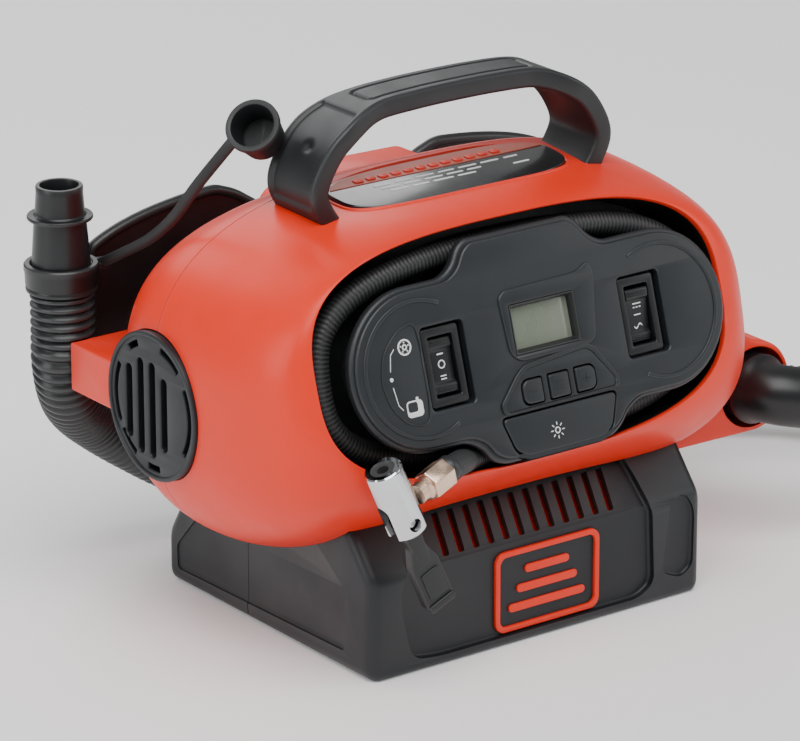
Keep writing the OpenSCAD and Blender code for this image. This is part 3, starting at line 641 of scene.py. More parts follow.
def make_chuck():
    """The clamp-on chuck's barrel: an open mouth, a slot for the lever and a hole for its pin."""
    r, length = CHUCK_R, CHUCK_LEN
    profile = [(4.9, 0), (6.9, 0), (7.5, 0.4), (r, 1.2), (r, length - 0.8), (r - 0.6, length), (3, length),
               (3, 15), (4.9, 14), (4.9, 0)]
    barrel = lathe("barrel", profile, CHUCK_PLACE, 72)
    slot_end = arc((0, 17), 3.3, 0, -180, 10)
    slot_loop = [(-3.3, 17), (-3.3, length + 3), (3.3, length + 3), (3.3, 17)] + slot_end
    slot = plate_mesh("slot", [slot_loop], -12, 12, 0.01, CHUCK_PLACE @ ACROSS, 0)
    hole = lathe("hole", [(0.01, 0), (2.7, 0), (2.7, 14), (0.01, 14)], PIN_PLACE, 32)
    barrel = cut(barrel, [slot, hole])
    return add_piece("chuck_barrel_turned", barrel, CHROME, angle=30, nodes=["chuck_barrel"])


def make_chuck_pin():
    """The lever's pin, sunk in its hole."""
    profile = [(0.01, -5.6), (1.6, -5.6), (2.0, -5.2), (2.0, 4.6), (1.6, 5.0), (0.01, 5.0)]
    return add_piece("chuck_pin_turned", lathe("pin", profile, PIN_PLACE, 32), STEEL, nodes=["chuck_pin"])


def make_chuck_lever():
    """The thumb lever: a cheek on the pin that widens into a ridged paddle."""
    around_pin = arc((0, 0), 4.4, 180, 360, 14)
    cheek_loop = around_pin + [(3.9, 6), (3.3, 12), (3.0, 22), (-3.0, 22), (-3.3, 12), (-3.9, 6)]
    cheek = plate_mesh("cheek", [round_corners(cheek_loop, 0.8, 2)], -2.6, 2.6, 0.6, PIN_PLACE)
    paddle_loop = round_corners([(-3, 12), (3, 12), (6.3, 21), (6.5, 40), (4.5, 42), (-4.5, 42),
                                 (-6.5, 40), (-6.3, 21)], 2)
    paddle = plate_mesh("paddle", [paddle_loop], -3.0, 2.4, 0.9, PIN_PLACE)
    lip = plate_mesh("lip", [box_loop((0, 40.2), (12.4, 3.2), 1.2)], 1.0, 3.4, 0.6, PIN_PLACE)
    pad = plate_mesh("pad", [box_loop((0, 30.5), (8.6, 12), 1.0)], 1.4, 3.1, 0.4, PIN_PLACE)
    return [add_piece("chuck_lever_" + name, mesh, BLACK, body="chuck_lever", nodes=["chuck_lever"])
            for name, mesh in (("cheek", cheek), ("paddle", paddle), ("lip", lip), ("pad", pad))]


def declare_cords():
    """Makes the pieces on each hose."""
    nozzle = make_nozzle()
    collar = make_collar()
    cap = make_cap()
    strap = make_strap()
    elbow = make_elbow()
    ferrule = make_ferrule()
    barrel = make_chuck()
    lever = make_chuck_lever()
    on_hose = [*ferrule, barrel, *lever, make_chuck_pin(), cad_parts["chuck_seal"]]


declare_cords()

# ---- body shells ----
PER_QUARTER = 44 if fine else 22
ANGLES = [90 * (q + ease(i / PER_QUARTER)) for q in range(4) for i in range(PER_QUARTER)]


def shell_point(turn, f, grow, front, seam_y):
    """A point on the shell: f runs from 0 at the seam to 1 at the front rim or the back face."""
    sx, sz = oval((0, BODY_Z), (BODY_L + grow, BODY_H + grow), 2.8, turn)
    if front:
        u, v = oval(RIM_C, (RIM_HALF[0] + grow, RIM_HALF[1] + grow), 3, turn)
        end = on_plane(u, v, RIM_N + grow)
    else:
        x, z = oval((0, BODY_Z - 2), (REAR_HALF[0] + grow, REAR_HALF[1] + grow), 3, turn)
        end = Vector((x, REAR_Y + grow, z))
    fullness = mix(2.4, 1.2 if front else 1.4, math.sin(math.radians(turn)) ** 2)
    a = math.cos(math.pi / 2 * f) ** (2 / fullness) if f < 1 else 0.0
    b = math.sin(math.pi / 2 * f) ** (2 / fullness)
    return (mix(end.x, sx, a), mix(seam_y, end.y, b), mix(end.z, sz, a))


def shell_ring(f, grow, front, seam_y):
    return [shell_point(t, f, grow, front, seam_y) for t in ANGLES]


def rim_ring(grow, depth):
    ring = []
    for t in ANGLES:
        u, v = oval(RIM_C, (RIM_HALF[0] + grow, RIM_HALF[1] + grow), 3, t)
        ring.append(tuple(on_plane(u, v, depth)))
    return ring


STEPS = 26 if fine else 12
OUTER = [ease(j / STEPS) for j in range(STEPS, -1, -1)]
INNER = [0, 0.16, 0.32, 0.45]
SEAM_HALF = 0.18


def front_solid():
    """The front half: its hollow inside, its skin and the recess for the hose."""
    seam = SEAM_Y - SEAM_HALF
    steps = [(-0.6, -RECESS), (-0.6, -16), (-0.6, -6.2), (-0.5, -5.0), (-0.2, -4.2)]
    wells = [rim_ring(grow, depth) for grow, depth in steps]
    outer = [shell_ring(f, 0, True, seam) for f in OUTER]
    inner = [shell_ring(f, -WALL, True, seam) for f in INNER] + [rim_ring(1, -RECESS - WALL - 1.4)]
    tones = [1, 1, 0, 0, 0] + [0] * (len(outer) + len(inner) - 1)
    return loft("front_shell", wells + outer + inner, tones)


def rear_solid():
    """The rear half: its skin and its hollow inside."""
    seam = SEAM_Y + SEAM_HALF
    outer = [shell_ring(f, 0, False, seam) for f in OUTER]
    inner = [shell_ring(f, -WALL, False, seam) for f in [0, 0.2, 0.4, 0.6, 0.8, 1]]
    return loft("rear_shell", outer + inner)


# ---- base ----
BASE_L, BASE_D, BASE_WALL, BASE_TOP = 82.8, 70.6, 42.5, 62.5
SLOPE_Y = -54
SLOPE_UP = Vector((0, SLOPE_Y + BASE_D, BASE_TOP - BASE_WALL)).normalized()
SLOPE_PLACE = axes((0, -BASE_D, BASE_WALL), (1, 0, 0), SLOPE_UP)


def base_outline(grow):
    """The base's side view in depth and height."""
    return [(-BASE_D - grow, 0 - grow), (-BASE_D - grow, BASE_WALL + grow * 0.4),
            (SLOPE_Y - grow * 0.8, BASE_TOP + grow * 0.6), (SLOPE_Y + 6, BASE_TOP + grow),
            (42, BASE_TOP + grow), (52 + grow, 51.5 + grow), (BASE_D + grow, 21.5 + grow * 0.4),
            (BASE_D + grow, 0 - grow)]


ALONG_X = axes((0, 0, 0), (0, 1, 0), (0, 0, 1))


def slab(outline, low, high, place=ALONG_X):
    """A sharp-edged cutter along the place's own third axis."""
    return plate_mesh("cutter", [outline], low, high, 0.01, place, 0)


LABEL_AT, LABEL_TILT, LABEL_HALF = (0, -9, 176.4), math.radians(5.5), (54, 18)
LABEL_PLACE = axes(LABEL_AT, (1, 0, 0), (0, math.cos(LABEL_TILT), math.sin(LABEL_TILT)))
GRILLE_R, GRILLE_Z = 30, 100.3
GRILLE_PLACE = axes((-BODY_L, SEAM_Y, GRILLE_Z), (0, -1, 0), (0, 0, 1))


def label_loop(grow, count=120):
    """The label's outline, grown or shrunk all round."""
    return oval_loop((0, 0), (LABEL_HALF[0] + grow, LABEL_HALF[1] + grow), 3.2, count)


def block_cutter(low, high):
    """A sharp box from one corner to the other."""
    loop = [(low[0], low[1]), (high[0], low[1]), (high[0], high[1]), (low[0], high[1])]
    return loft("cutter", [[(x, y, low[2]) for x, y in loop], [(x, y, high[2]) for x, y in loop]])


def turned_cutter(radius, low, high, place):
    return lathe("cutter", [(0.01, low), (radius, low), (radius, high), (0.01, high)], place, 72)


def grille_cutter():
    return turned_cutter(GRILLE_R + 0.3, -6.5, 20, GRILLE_PLACE)


def shell_cutters():
    """Room in the shells for the base, the label, the grille and the port."""
    return [slab(base_outline(0.2), -BASE_L - 0.2, BASE_L + 0.2),
            slab(label_loop(0.4), -5, 12, LABEL_PLACE),
            grille_cutter(),
            turned_cutter(SOCKET_BORE, -4, SOCKET_LEN - 12, SOCKET_PLACE)]


def make_shells():
    """Both halves of the body and the crown behind the handle."""
    front = add_piece("front_shell_skin", cut(front_solid(), shell_cutters()), ORANGE, BLACK, angle=32,
                      nodes=["front_shell"])
    rear = add_piece("rear_shell_skin", cut(rear_solid(), shell_cutters()), ORANGE, angle=32,
                     nodes=["rear_shell"])
    crown = [(-60, 150), (-54, 167), (-40, 172), (-16, 174.2), (15, 173.6), (21, 166), (23, 150)]
    hump_place = axes((0, 31, 0), (1, 0, 0), (0, 0, 1))
    hump = plate_mesh("hump", [round_corners(crown, 6, 8)], -13, 13, 3.2, hump_place, 5)
    add_piece("rear_shell_crown", hump, ORANGE, nodes=["rear_shell"])
    return front, rear


front_shell, rear_shell = make_shells()
shell_tree = {}
for side_name, side_piece in (("front", front_shell), ("rear", rear_shell)):
    shell_tree[side_name] = BVHTree.FromObject(side_piece, bpy.context.evaluated_depsgraph_get())


def shell_hit(start, direction):
    """The first point of either shell along a line, in millimetres."""
    hits = []
    for tree in shell_tree.values():
        hit = tree.ray_cast(Vector(start) * MM, Vector(direction).normalized())[0]
        if hit:
            hits.append(hit / MM)
    return min(hits, key=lambda p: (p - Vector(start)).length) if hits else None


# ---- port socket, faired into the body ----
def socket_outline(y, shrink=0.0):
    """The fairing's outline at one depth: the body, a hollow curve, the round socket and back."""
    x, z = SOCKET_AT[0], SOCKET_AT[2]
    radius = SOCKET_R - shrink
    top_z, low_z = z + 41 - shrink, z - 17.5 + shrink
    top = shell_hit((220, y, top_z), (-1, 0, 0)) or Vector((112, y, top_z))
    low = shell_hit((220, y, low_z), (-1, 0, 0)) or Vector((96, y, low_z))
    upper, lower = math.radians(72), math.radians(-84)
    rim_top = Vector((x + radius * math.cos(upper), y, z + radius * math.sin(upper)))
    rim_low = Vector((x + radius * math.cos(lower), y, z + radius * math.sin(lower)))
    bend_top = Vector((mix(top.x, rim_top.x, 0.18) + 4, y, rim_top.z + 2.5))
    bend_low = Vector((mix(low.x, rim_low.x, 0.45) + 3, y, rim_low.z + 1.5))
    count = 14
    sunk = Vector((2, 0, 0))
    points = [bent(top - sunk, bend_top, rim_top, i / count) for i in range(count)]
    around = 40
    for i in range(around + 1):
        turn = mix(upper, lower, i / around)
        points.append(Vector((x + radius * math.cos(turn), y, z + radius * math.sin(turn))))
    points += [bent(rim_low, bend_low, low - sunk, i / count) for i in range(1, count + 1)]
    back = Vector((92, y, (top_z + low_z) / 2))
    points += [mix(points[-1], back, 0.5), back, mix(points[0], back, 0.5)]
    return [tuple(p) for p in points]


def make_socket():
    """The port's fairing, lofted along its depth and bored."""
    y = SOCKET_AT[1]
    slices = [(y, 1.6), (y + 0.15, 0.9), (y + 0.5, 0.35), (y + 1.2, 0)]
    slices += [(y + 4 + 3.2 * i, 0) for i in range(11)]
    rings = [socket_outline(at, shrink) for at, shrink in slices]
    body = loft("socket", rings)
    bore = turned_cutter(SOCKET_BORE - 0.2, -3, 31, SOCKET_PLACE)
    add_piece("port_socket_fairing", cut(body, [bore]), ORANGE, angle=30, nodes=["port_socket"])


make_socket()


# ---- base ----
def inset_loop(points, distance):
    """A convex outline drawn in by a distance."""
    loop = []
    for i, corner in enumerate(points):
        here, before, after = Vector(corner), Vector(points[i - 1]), Vector(points[(i + 1) % len(points)])
        a, b = (here - before).normalized(), (after - here).normalized()
        reach = distance / math.sqrt((1 + a.dot(b)) / 2)
        loop.append(tuple(here + (b - a).normalized() * reach))
    return loop


def base_block():
    """The base's solid, with rounded edges at its left and right ends."""
    corners = [p for p in base_outline(0) if p[0] != SLOPE_Y + 6]
    rounding, steps = 5, 6
    right = []
    for k in range(steps + 1):
        turn = math.pi / 2 * k / steps
        inset, x = rounding * (1 - math.sin(turn)), BASE_L - rounding * (1 - math.cos(turn))
        right.append([(x, y, z) for y, z in round_corners(inset_loop(corners, inset), 3.5, 5)])
    left = [[(-x, y, z) for x, y, z in ring] for ring in reversed(right)]
    return loft("base", right + left)


def make_base():
    """The base's shell, with its sunk front, vents, side panels and seam."""
    block = base_block()
    inside = slab([(y * 0.925, mix(z, 30, 0.115)) for y, z in base_outline(0)], -BASE_L + 3.2, BASE_L - 3.2)
    front = axes((0, -BASE_D, 0), (1, 0, 0), (0, 0, 1))
    sunk_loop = round_corners([(-63, 6), (-50, 4.2), (50, 4.2), (58, 9), (56.5, 44), (-66, 44),
                               (-69, 30)], 6, 6)
    sunk = plate_mesh("sunk", [sunk_loop], -3.0, 6, 1.2, front, 3)
    ledge_loop = round_corners([(-66, -6), (56.5, -6), (54, 16), (50, 34), (-58, 34), (-64, 16)], 3, 5)
    ledge = plate_mesh("ledge", [ledge_loop], -2.6, 6, 1.0, SLOPE_PLACE, 3)
    tools = [inside, sunk, ledge]
    vents, pitch, lean = 12, 7.45, 2.4
    for i in range(vents):
        x = -43.3 + i * pitch
        slit = [(x - 1.7, 3.4), (x + 1.5, 3.4), (x + 1.5 + lean, 21.6), (x - 1.7 + lean, 21.6)]
        tools.append(plate_mesh("vent", [round_corners(slit, 1.2, 4)], -12, 4, 0.1, SLOPE_PLACE, 1))
    thumb_loop = round_corners([(62, 12), (72, 8), (78, 12), (78.5, 36), (74, 44), (66, 42)], 4, 6)
    tools.append(plate_mesh("thumb", [thumb_loop], -1.8, 5, 1.2, front, 3))
    for s in (-1, 1):
        flank = axes((s * BASE_L, 0, 0), (0, s, 0), (0, 0, 1))
        panel = [(62.4, 6.6), (62.9, 17), (50, 31), (36, 44), (-32, 50), (-54, 34), (-52.8, 8.6)]
        flank_loop = round_corners([(s * y, z) for y, z in panel], 2.5, 5)
        tools.append(plate_mesh("flank", [flank_loop], -0.7, 4, 0.3, flank, 2))
    groove, half_gap = 0.8, 0.25
    for low_x, high_x in ((-90, groove - BASE_L), (BASE_L - groove, 90)):
        tools.append(block_cutter((low_x, SEAM_Y - half_gap, -2), (high_x, SEAM_Y + half_gap, 70)))
    gland = axes((-40, BASE_D, 12), (-1, 0, 0), (0, 0, 1))
    tools.append(turned_cutter(5, -10, 4, gland))
    add_piece("base_case", cut(block, tools, solver="MANIFOLD"), CHARCOAL, angle=30,
              nodes=["base_front", "base_rear"])
    rim = lathe("gland", [(5, -2), (7.4, -2), (7.4, 0.9), (6.8, 1.4), (5.6, 1.4), (5, 0.9), (5, -2)], gland)
    add_piece("base_gland_rim", rim, CHARCOAL)


def make_skirt():
    """The body's lower skirt, seen through the base's vents."""
    plate("front_shell_skirt", [box_loop((-1, 14), (100, 22), 2)], -10, -7.4, 0.8, SLOPE_PLACE, ORANGE)


def make_emblem():
    """A plain framed badge with three bars."""
    front = axes((5, -BASE_D + 3.0, 22), (1, 0, 0), (0, 0, 1))
    frame_mesh = plate_mesh("badge", [box_loop((0, 0), (52, 34), 4.6), box_loop((0, 0), (47.4, 29.4), 3.2)],
                            -0.5, 1.5, 0.5, front)
    add_piece("front_emblem_frame", frame_mesh, ORANGE, nodes=["front_emblem"])
    for i, width in enumerate((22, 30, 38)):
        bar = plate_mesh("bar", [box_loop((0, 7.6 - 7.6 * i), (width, 3.4), 1.6)], -0.5, 1.0, 0.4, front)
        add_piece("front_emblem_bar_%d" % i, bar, ORANGE, nodes=["front_emblem"])


make_base()
make_skirt()
make_emblem()


# ---- end grille and bracket ----
def make_grille():
    """The round slotted grille on the left end, its rim and the dark behind it."""
    loops = [circle_loop((0, 0), GRILLE_R - 0.2, 96)]
    for x, tall in ((-16, 30), (-8, 39), (0, 39), (8, 30)):
        loops.append(box_loop((x, -1.7), (4.2, tall), 2.05, 6))
    spans = [(152, 208), (216, 242), (262, 280), (-34, 30), (46, 76), (112, 128)]
    for start, end in spans:
        outer = arc((0, 0), 26.6, start, end, 12)
        inner = arc((0, 0), 24.2, end, start, 12)
        loops.append(round_corners(outer + inner, 0.8, 2))
    rim = [circle_loop((0, 0), GRILLE_R + 0.1, 96), circle_loop((0, 0), GRILLE_R - 1.9, 96)]
    back = [circle_loop((0, 0), GRILLE_R - 1, 64)]
    layers = [("disc", loops, -5.4, 0.1, 0.6, CHARCOAL), ("rim", rim, -2, 0.8, 0.7, CHARCOAL),
              ("back", back, -6.4, -5.9, 0.1, DIM_PRINT)]
    for name, outlines, low, high, edge, material in layers:
        plate("end_grille_" + name, outlines, low, high, edge, GRILLE_PLACE, material,
              nodes=["end_grille"], slot="charcoal_plastic")


def make_bracket():
    """The arm that the blower hose rests in."""
    low, high = [Vector(c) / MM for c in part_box("hose_bracket")]
    loop = round_corners([(low.y, low.z), (high.y, low.z), (high.y, high.z), (low.y, high.z)], 1.2, 3)
    arm = plate_mesh("arm", [loop], low.x, high.x, 0.8, ALONG_X)
    rest_r = BLOWER_D / 2 + 0.3
    rest = lathe("cutter", [(0.01, 80), (rest_r, 80), (rest_r, 124), (0.01, 124)],
                 moved((HOSE_X, HOSE_Y, 0)) @ Matrix.Scale(MM, 4), 64)
    add_piece("hose_bracket_arm", cut(arm, [rest, grille_cutter()]), ORANGE, angle=30, nodes=["hose_bracket"])


make_grille()
make_bracket()


# ---- cord store on the back ----
def even_loop(points, step, blur):
    """A closed outline with evenly spaced points and every corner softened."""
    closed = even_path([Vector((*p, 0)) for p in [*points, points[0]]], step)[:-1]
    count = len(closed)
    blurred = [sum((closed[(i + k) % count] for k in range(-blur, blur + 1)), Vector()) / (2 * blur + 1)
               for i in range(count)]
    return [(p.x, p.y) for p in blurred]


def flange_outline():
    """A long oval, flat at its left and right ends, with a wide bay in its upper and lower edges."""
    left, right, bay, bay_depth, bay_side, step = 114.5, 118.5, 48, 42, 7, 4
    points = []
    for i in range(46):
        x, z = oval((0, 0), (135, 55), 3.2, step * i)
        points.append((max(-left, min(right, x)), z))
    points += [oval((0, 0), (left, 50), 1.7, 180 + step * i) for i in range(1, 45)]
    for i, (x, z) in enumerate(points):
        if abs(x) < bay:
            depth = mix(bay_depth, abs(z), ease((abs(x) - bay + bay_side) / bay_side))
            points[i] = (x, math.copysign(depth, z))
    return even_loop(points, 1.5, 2)


FLANGE_Y = 88


def make_cord_store():
    """The hub and flange on the back, for winding a mains cord."""
    place = axes((12, FLANGE_Y, BODY_Z), (-1, 0, 0), (0, 0, 1))
    outline = flange_outline()
    window = slab(oval_loop((12, 0), (40, 14), 2.6), -8, 8, place)
    body = cut(plate_mesh("flange", [outline], 0, 3, 1.2, place, 4), [window])
    add_piece("cord_flange_plate", body, BLACK, angle=30, nodes=["cord_flange"])
    sides, half_wide, half_tall = 12, 2.1, 2.5
    count, rings = len(outline), []
    for i, (x, z) in enumerate(outline):
        after, before = outline[(i + 1) % count], outline[i - 1]
        inward = Vector((before[1] - after[1], after[0] - before[0])).normalized()
        ring = []
        for k in range(sides):
            turn = 2 * math.pi * k / sides
            reach = half_wide + half_wide * math.cos(turn)
            spot = Vector((x + inward.x * reach, z + inward.y * reach, 1.4 + half_tall * math.sin(turn)))
            ring.append(tuple(place @ spot / MM))
        rings.append(ring)
    add_piece("cord_flange_rim", loft("rim", rings + rings[:1], caps=False), BLACK, angle=60)
    low, high = [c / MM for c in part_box("cord_hub")]
    hub = plate_mesh("hub", [oval_loop((12, 0), (62, 26), 2.6)], low.y - FLANGE_Y, high.y - FLANGE_Y, 0.5,
                     place)
    add_piece("cord_hub_wall", hub, BLACK, nodes=["cord_hub"])


make_cord_store()


# ---- handle ----
HANDLE_Y = -5.5
half_handle = [(-59, 165), (-66, 174), (-69.5, 182), (-67.5, 190), (-60.5, 200), (-50, 207), (-38, 210.8),
               (-20, 212), (0, 212.3)]


def handle_width(x):
    """The strap is wide on its legs and narrower over the grip."""
    return mix(23, 32, ease((abs(x) - 34) / 24))


def make_handle():
    """The carrying strap, with its sunk pads and outlined field."""
    route = half_handle + [(-x, z) for x, z in reversed(half_handle[:-1])]
    path = smooth_path([(x, 0, z) for x, z in route], 0.8 if fine else 2.0)
    middle = path_length(path) / 2
    half_t = 4.0
    rings, reach = [], 0.0
    for i, here in enumerate(path):
        if i:
            reach += (here - path[i - 1]).length
        s = reach - middle
        ahead = (path[min(i + 1, len(path) - 1)] - path[max(i - 1, 0)]).normalized()
        out = Vector((-ahead.z, 0, ahead.x))
        half_w = handle_width(here.x) / 2
        ring = []
        for v, w in handle_section(half_w, half_t, fine):
            lift = handle_relief(s, v, half_w) if w > half_t * 0.7 else 0.0
            ring.append(here + Vector((0, HANDLE_Y + v, 0)) + out * (w + lift))
        rings.append(ring)
    add_piece("carry_handle", loft("handle", rings), HANDLE, angle=60, nodes=["handle"])


def handle_section(half_w, half_t, finely):
    """The strap's cross-section, with closely spaced points over its outer face."""
    r = 1.7
    across = 44 if finely else 22
    top = [(mix(half_w - r, r - half_w, i / across), half_t) for i in range(across + 1)]
    left = arc((r - half_w, half_t - r), r, 90, 180, 4)[1:] + arc((r - half_w, r - half_t), r, 180, 270, 4)
    right = arc((half_w - r, r - half_t), r, 270, 360, 4) + arc((half_w - r, half_t - r), r, 0, 90, 4)[:-1]
    low = [(mix(r - half_w, half_w - r, i / 6), -half_t) for i in range(1, 6)]
    return top + left + low + right


def handle_relief(s, v, half_w):
    """Height of the outer face above plain: a sunk pad on each shoulder and an outlined field on the grip."""
    height = 0.0
    pad = min(abs(s) - 48, 88 - abs(s), half_w - 2.8 - abs(v))
    height -= 1.1 * ease(pad / 0.9)
    height -= 1.4 * math.exp(-((abs(s) - 67) / 1.9) ** 2 - ((v + 1.0) / 2.4) ** 2)
    field = min(39 - abs(s), 6.6 - abs(v))
    corner = 44 - (abs(s) + abs(v))
    line = abs(min(field, corner * 0.75))
    height -= 0.8 * ease(1.4 - line / 0.6)
    return height


make_handle()


# ---- label ----
def make_label():
    """The dark label, its tinted stripe and plain bars in place of its lettering."""
    plate("label_face", [label_loop(0)], -3.2, 0.2, 0.5, LABEL_PLACE, GLOSS, nodes=["label_plate"])
    stripe_loop = [p for p in label_loop(-1, 200) if p[1] > 6.2]
    plate("label_stripe_field", [stripe_loop], 0.0, 0.5, 0.15, LABEL_PLACE, LABEL_TINT,
          nodes=["label_stripe"])
    for i in range(12):
        tall = 3.4 - 0.5 * (i % 3 == 1)
        plate("label_relief_%d" % i, [box_loop((-36.5 + 6.1 * i, 9.6), (4.4, tall), 1.0, 4)], 0.3, 1.0,
              0.3, LABEL_PLACE, ORANGE)
    rows = [(2.8, [(-30, 8, 1.9), (-19.5, 8, 1.0), (-9, 9, 1.0), (1.5, 8, 1.0), (12, 9, 1.0),
                   (23, 9, 1.0), (33.5, 7, 1.0)]),
                   (-0.5, [(-28, 9, 1.0), (-17.5, 8, 1.0), (-7, 9, 1.0), (3.5, 8, 1.0), (13, 7, 1.0)]),
                   (-3.8, [(-26, 9, 1.0), (-15.5, 8, 1.0), (-4.5, 10, 1.0), (7, 9, 1.0), (34, 8, 0.9)])]
    for r, (v, bars) in enumerate(rows):
        for i, (u, width, tall) in enumerate(bars):
            plate("label_line_%d_%d" % (r, i), [box_loop((u, v), (width, tall), tall / 2.1, 2)], 0.1, 0.4,
                  0.06, LABEL_PLACE, WHITE, slot="black_gloss")


def make_label_bead():
    """A raised lip of the shell round the label."""
    count, radius, sides = 160, 0.95, 12
    ring = []
    for u, v in label_loop(1.0, count):
        flat = LABEL_PLACE @ Vector((u, v, 0)) / MM
        top = shell_hit((flat.x, flat.y, 230), (0, 0, -1))
        ring.append(Vector((flat.x, flat.y, (top.z if top else flat.z) - 0.35)))
    levels = [sum((ring[(i + k) % count].z for k in range(-4, 5))) / 9 for i in range(count)]
    path = [Vector((p.x, p.y, z)) for p, z in zip(ring, levels)]
    rings = []
    for i, here in enumerate(path):
        ahead = (path[(i + 1) % count] - path[i - 1]).normalized()
        side = ahead.cross(Vector((0, 0, 1))).normalized()
        over = side.cross(ahead)
        rings.append(ring_round(here, side * radius, over * radius, sides))
    add_piece("label_lip", loft("lip", rings + rings[:1], caps=False), ORANGE)


make_label()
make_label_bead()

# ---- control panel ----
LOBE_U, LOBE_V, LOBE_R = 59, 2.4, 32.6
LEFT_SWITCH, RIGHT_SWITCH = (-47.5, 1.5), (49, 2.5)
SWITCH_SIZE = (18, 31)
DISPLAY_C = (1, 8.5)
BUTTON_V, BUTTON_U, BUTTON_W = -16.3, (-10.2, 2.8, 15.8), 9.6
light_loop = [(-26.5, -24.4), (29.7, -24.4), (25, -37.5), (20, -40.4), (-17, -40.4), (-22, -37.5)]


def panel_loop(inset):
    """The panel's outline: two round lobes and a waist that steps out above and below."""
    r = LOBE_R - inset
    top, low = LOBE_V + r, LOBE_V - r
    g = -inset
    steps = [(37 + g, top), (31 + g, 38.4 + g), (26 + g, 45 + g), (22 + g, 47.6 + g), (-29 - g, 47.6 + g),
             (-33 - g, 45 + g), (-37 - g, 38.4 + g), (-43 - g, top)]
    under = [(-43.5 - g, low), (-37 - g, -33.6 - g), (-33 - g, -39.5 - g), (-27 - g, -42 - g),
             (26 + g, -42 - g), (32 + g, -38.5 - g), (36 + g, -33.6 - g), (42.5 + g, low)]
    waist_top, waist_low = round_ends(steps), round_ends(under)
    right = arc((LOBE_U, LOBE_V), r, -90, 90, 40)
    left = arc((-LOBE_U, LOBE_V), r, 90, 270, 40)
    return right + waist_top + left + waist_low


def round_ends(points):
    """Rounds an open run of corners, leaving its two ends."""
    first, last = Vector(points[0]), Vector(points[-1])
    ends = [first + (first - last).normalized() * 8, last + (last - first).normalized() * 8]
    loop = round_corners([tuple(ends[0]), *points, tuple(ends[1])], 3.2, 5)
    return loop[6:-6]


def switch_hole(at):
    return box_loop((at[0] + 0.6, at[1]), (SWITCH_SIZE[0] + 2.6, SWITCH_SIZE[1] + 1.4), 2.0)


def button_loop(number, size):
    """A key whose outer corners are rounder on the outside keys."""
    half = size / 2
    u = BUTTON_U[number]
    square = [(u + half, BUTTON_V + half), (u - half, BUTTON_V + half), (u - half, BUTTON_V - half),
              (u + half, BUTTON_V - half)]
    loop = []
    for i, corner in enumerate(square):
        outer = (number == 0 and i in (1, 2)) or (number == 2 and i in (0, 3))
        r = 3.2 if outer else 0.9
        a = 90 * i
        centre = (corner[0] - r * (1 if i in (0, 3) else -1), corner[1] - r * (1 if i in (0, 1) else -1))
        loop += arc(centre, r, a, a + 90, 6)
    return loop


def panel_plate(name, loops, low, high, edge, material=PANEL, **says):
    """Flat work on the panel's plane."""
    plate(name, loops, low, high, edge, PANEL_PLACE, material, **says)


def make_panel():
    """The panel's sunk edge, its face, and the raised fields round the keys, the display and the lobes."""
    holes = [switch_hole(LEFT_SWITCH), switch_hole(RIGHT_SWITCH), box_loop(DISPLAY_C, (31, 19), 0.6)]
    keys = [button_loop(i, BUTTON_W + 1.0) for i in range(3)]
    light_gap = round_corners([(x * 1.02 + 0.1, v + (0.5 if v > -30 else -0.5)) for x, v in light_loop], 3, 6)
    loops = [panel_loop(0.3), *holes, *keys, light_gap]
    panel_plate("control_panel_edge", loops, -6, -1.4, 1.6, nodes=["control_panel"])
    panel_plate("control_panel_face", [panel_loop(2.0), *loops[1:]], -3, 0.1, 1.0, nodes=["control_panel"])
    raised = round_corners([(-25.2, -23), (31.6, -22.8), (31.9, -18.5), (22.6, -4.9), (18.5, -2.6),
                            (-12.2, -5.4), (-16.5, -8.4), (-26.2, -18.8)], 3.2, 6)
    well = round_corners([(-23.6, -22.2), (29.9, -22.0), (30.0, -18.6), (20.8, -6.4), (17.6, -4.7),
                          (-11.2, -7.3), (-15.2, -9.9), (-24.4, -18.8)], 2.6, 6)
    panel_plate("panel_key_rim", [raised, well], -0.6, 1.0, 0.5)
    panel_plate("panel_key_field", [well, *keys], -0.6, 0.55, 0.25)
    window = box_loop(DISPLAY_C, (31.4, 19.4), 0.6)
    brow = round_corners([(-19, 22), (-16, 24.5), (20, 25.2), (26.5, 28.5), (28.5, 24), (24.5, -1.5),
                          (20.5, -4.0), (-13, -4.2), (-17.5, -0.5)], 3, 6)
    panel_plate("panel_display_field", [brow, window], -0.6, 0.9, 0.8)
    for name, u, start, end in (("left", -LOBE_U, 62, 298), ("right", LOBE_U, -118, 118)):
        outer = arc((u, LOBE_V), LOBE_R - 5.2, start, end, 44)
        inner_edge = arc((u, LOBE_V), LOBE_R - 7.0, end, start, 44)
        panel_plate("panel_lobe_ridge_" + name, [outer + inner_edge], -0.5, 0.6, 0.5)


def make_display():
    """A window at the bottom of a sloping bezel."""
    x, y = DISPLAY_C
    bezel = []
    for w, h, n in ((31.4, 19.4, 0.95), (30.6, 18.6, 0.9), (28.2, 16.2, -2.2), (28.2, 16.2, -3.0),
                    (31.4, 19.4, -3.0)):
        bezel.append([tuple(on_plane(u, v, n)) for u, v in box_loop((x, y), (w, h), 0.5, 3)])
    add_piece("display_bezel", loft("bezel", bezel + bezel[:1], caps=False), BLACK)
    panel_plate("display_glass", [box_loop((x, y), (28.4, 16.4), 0.5)], -4.0, -2.4, 0.1, GLASS,
                nodes=["display_window"])


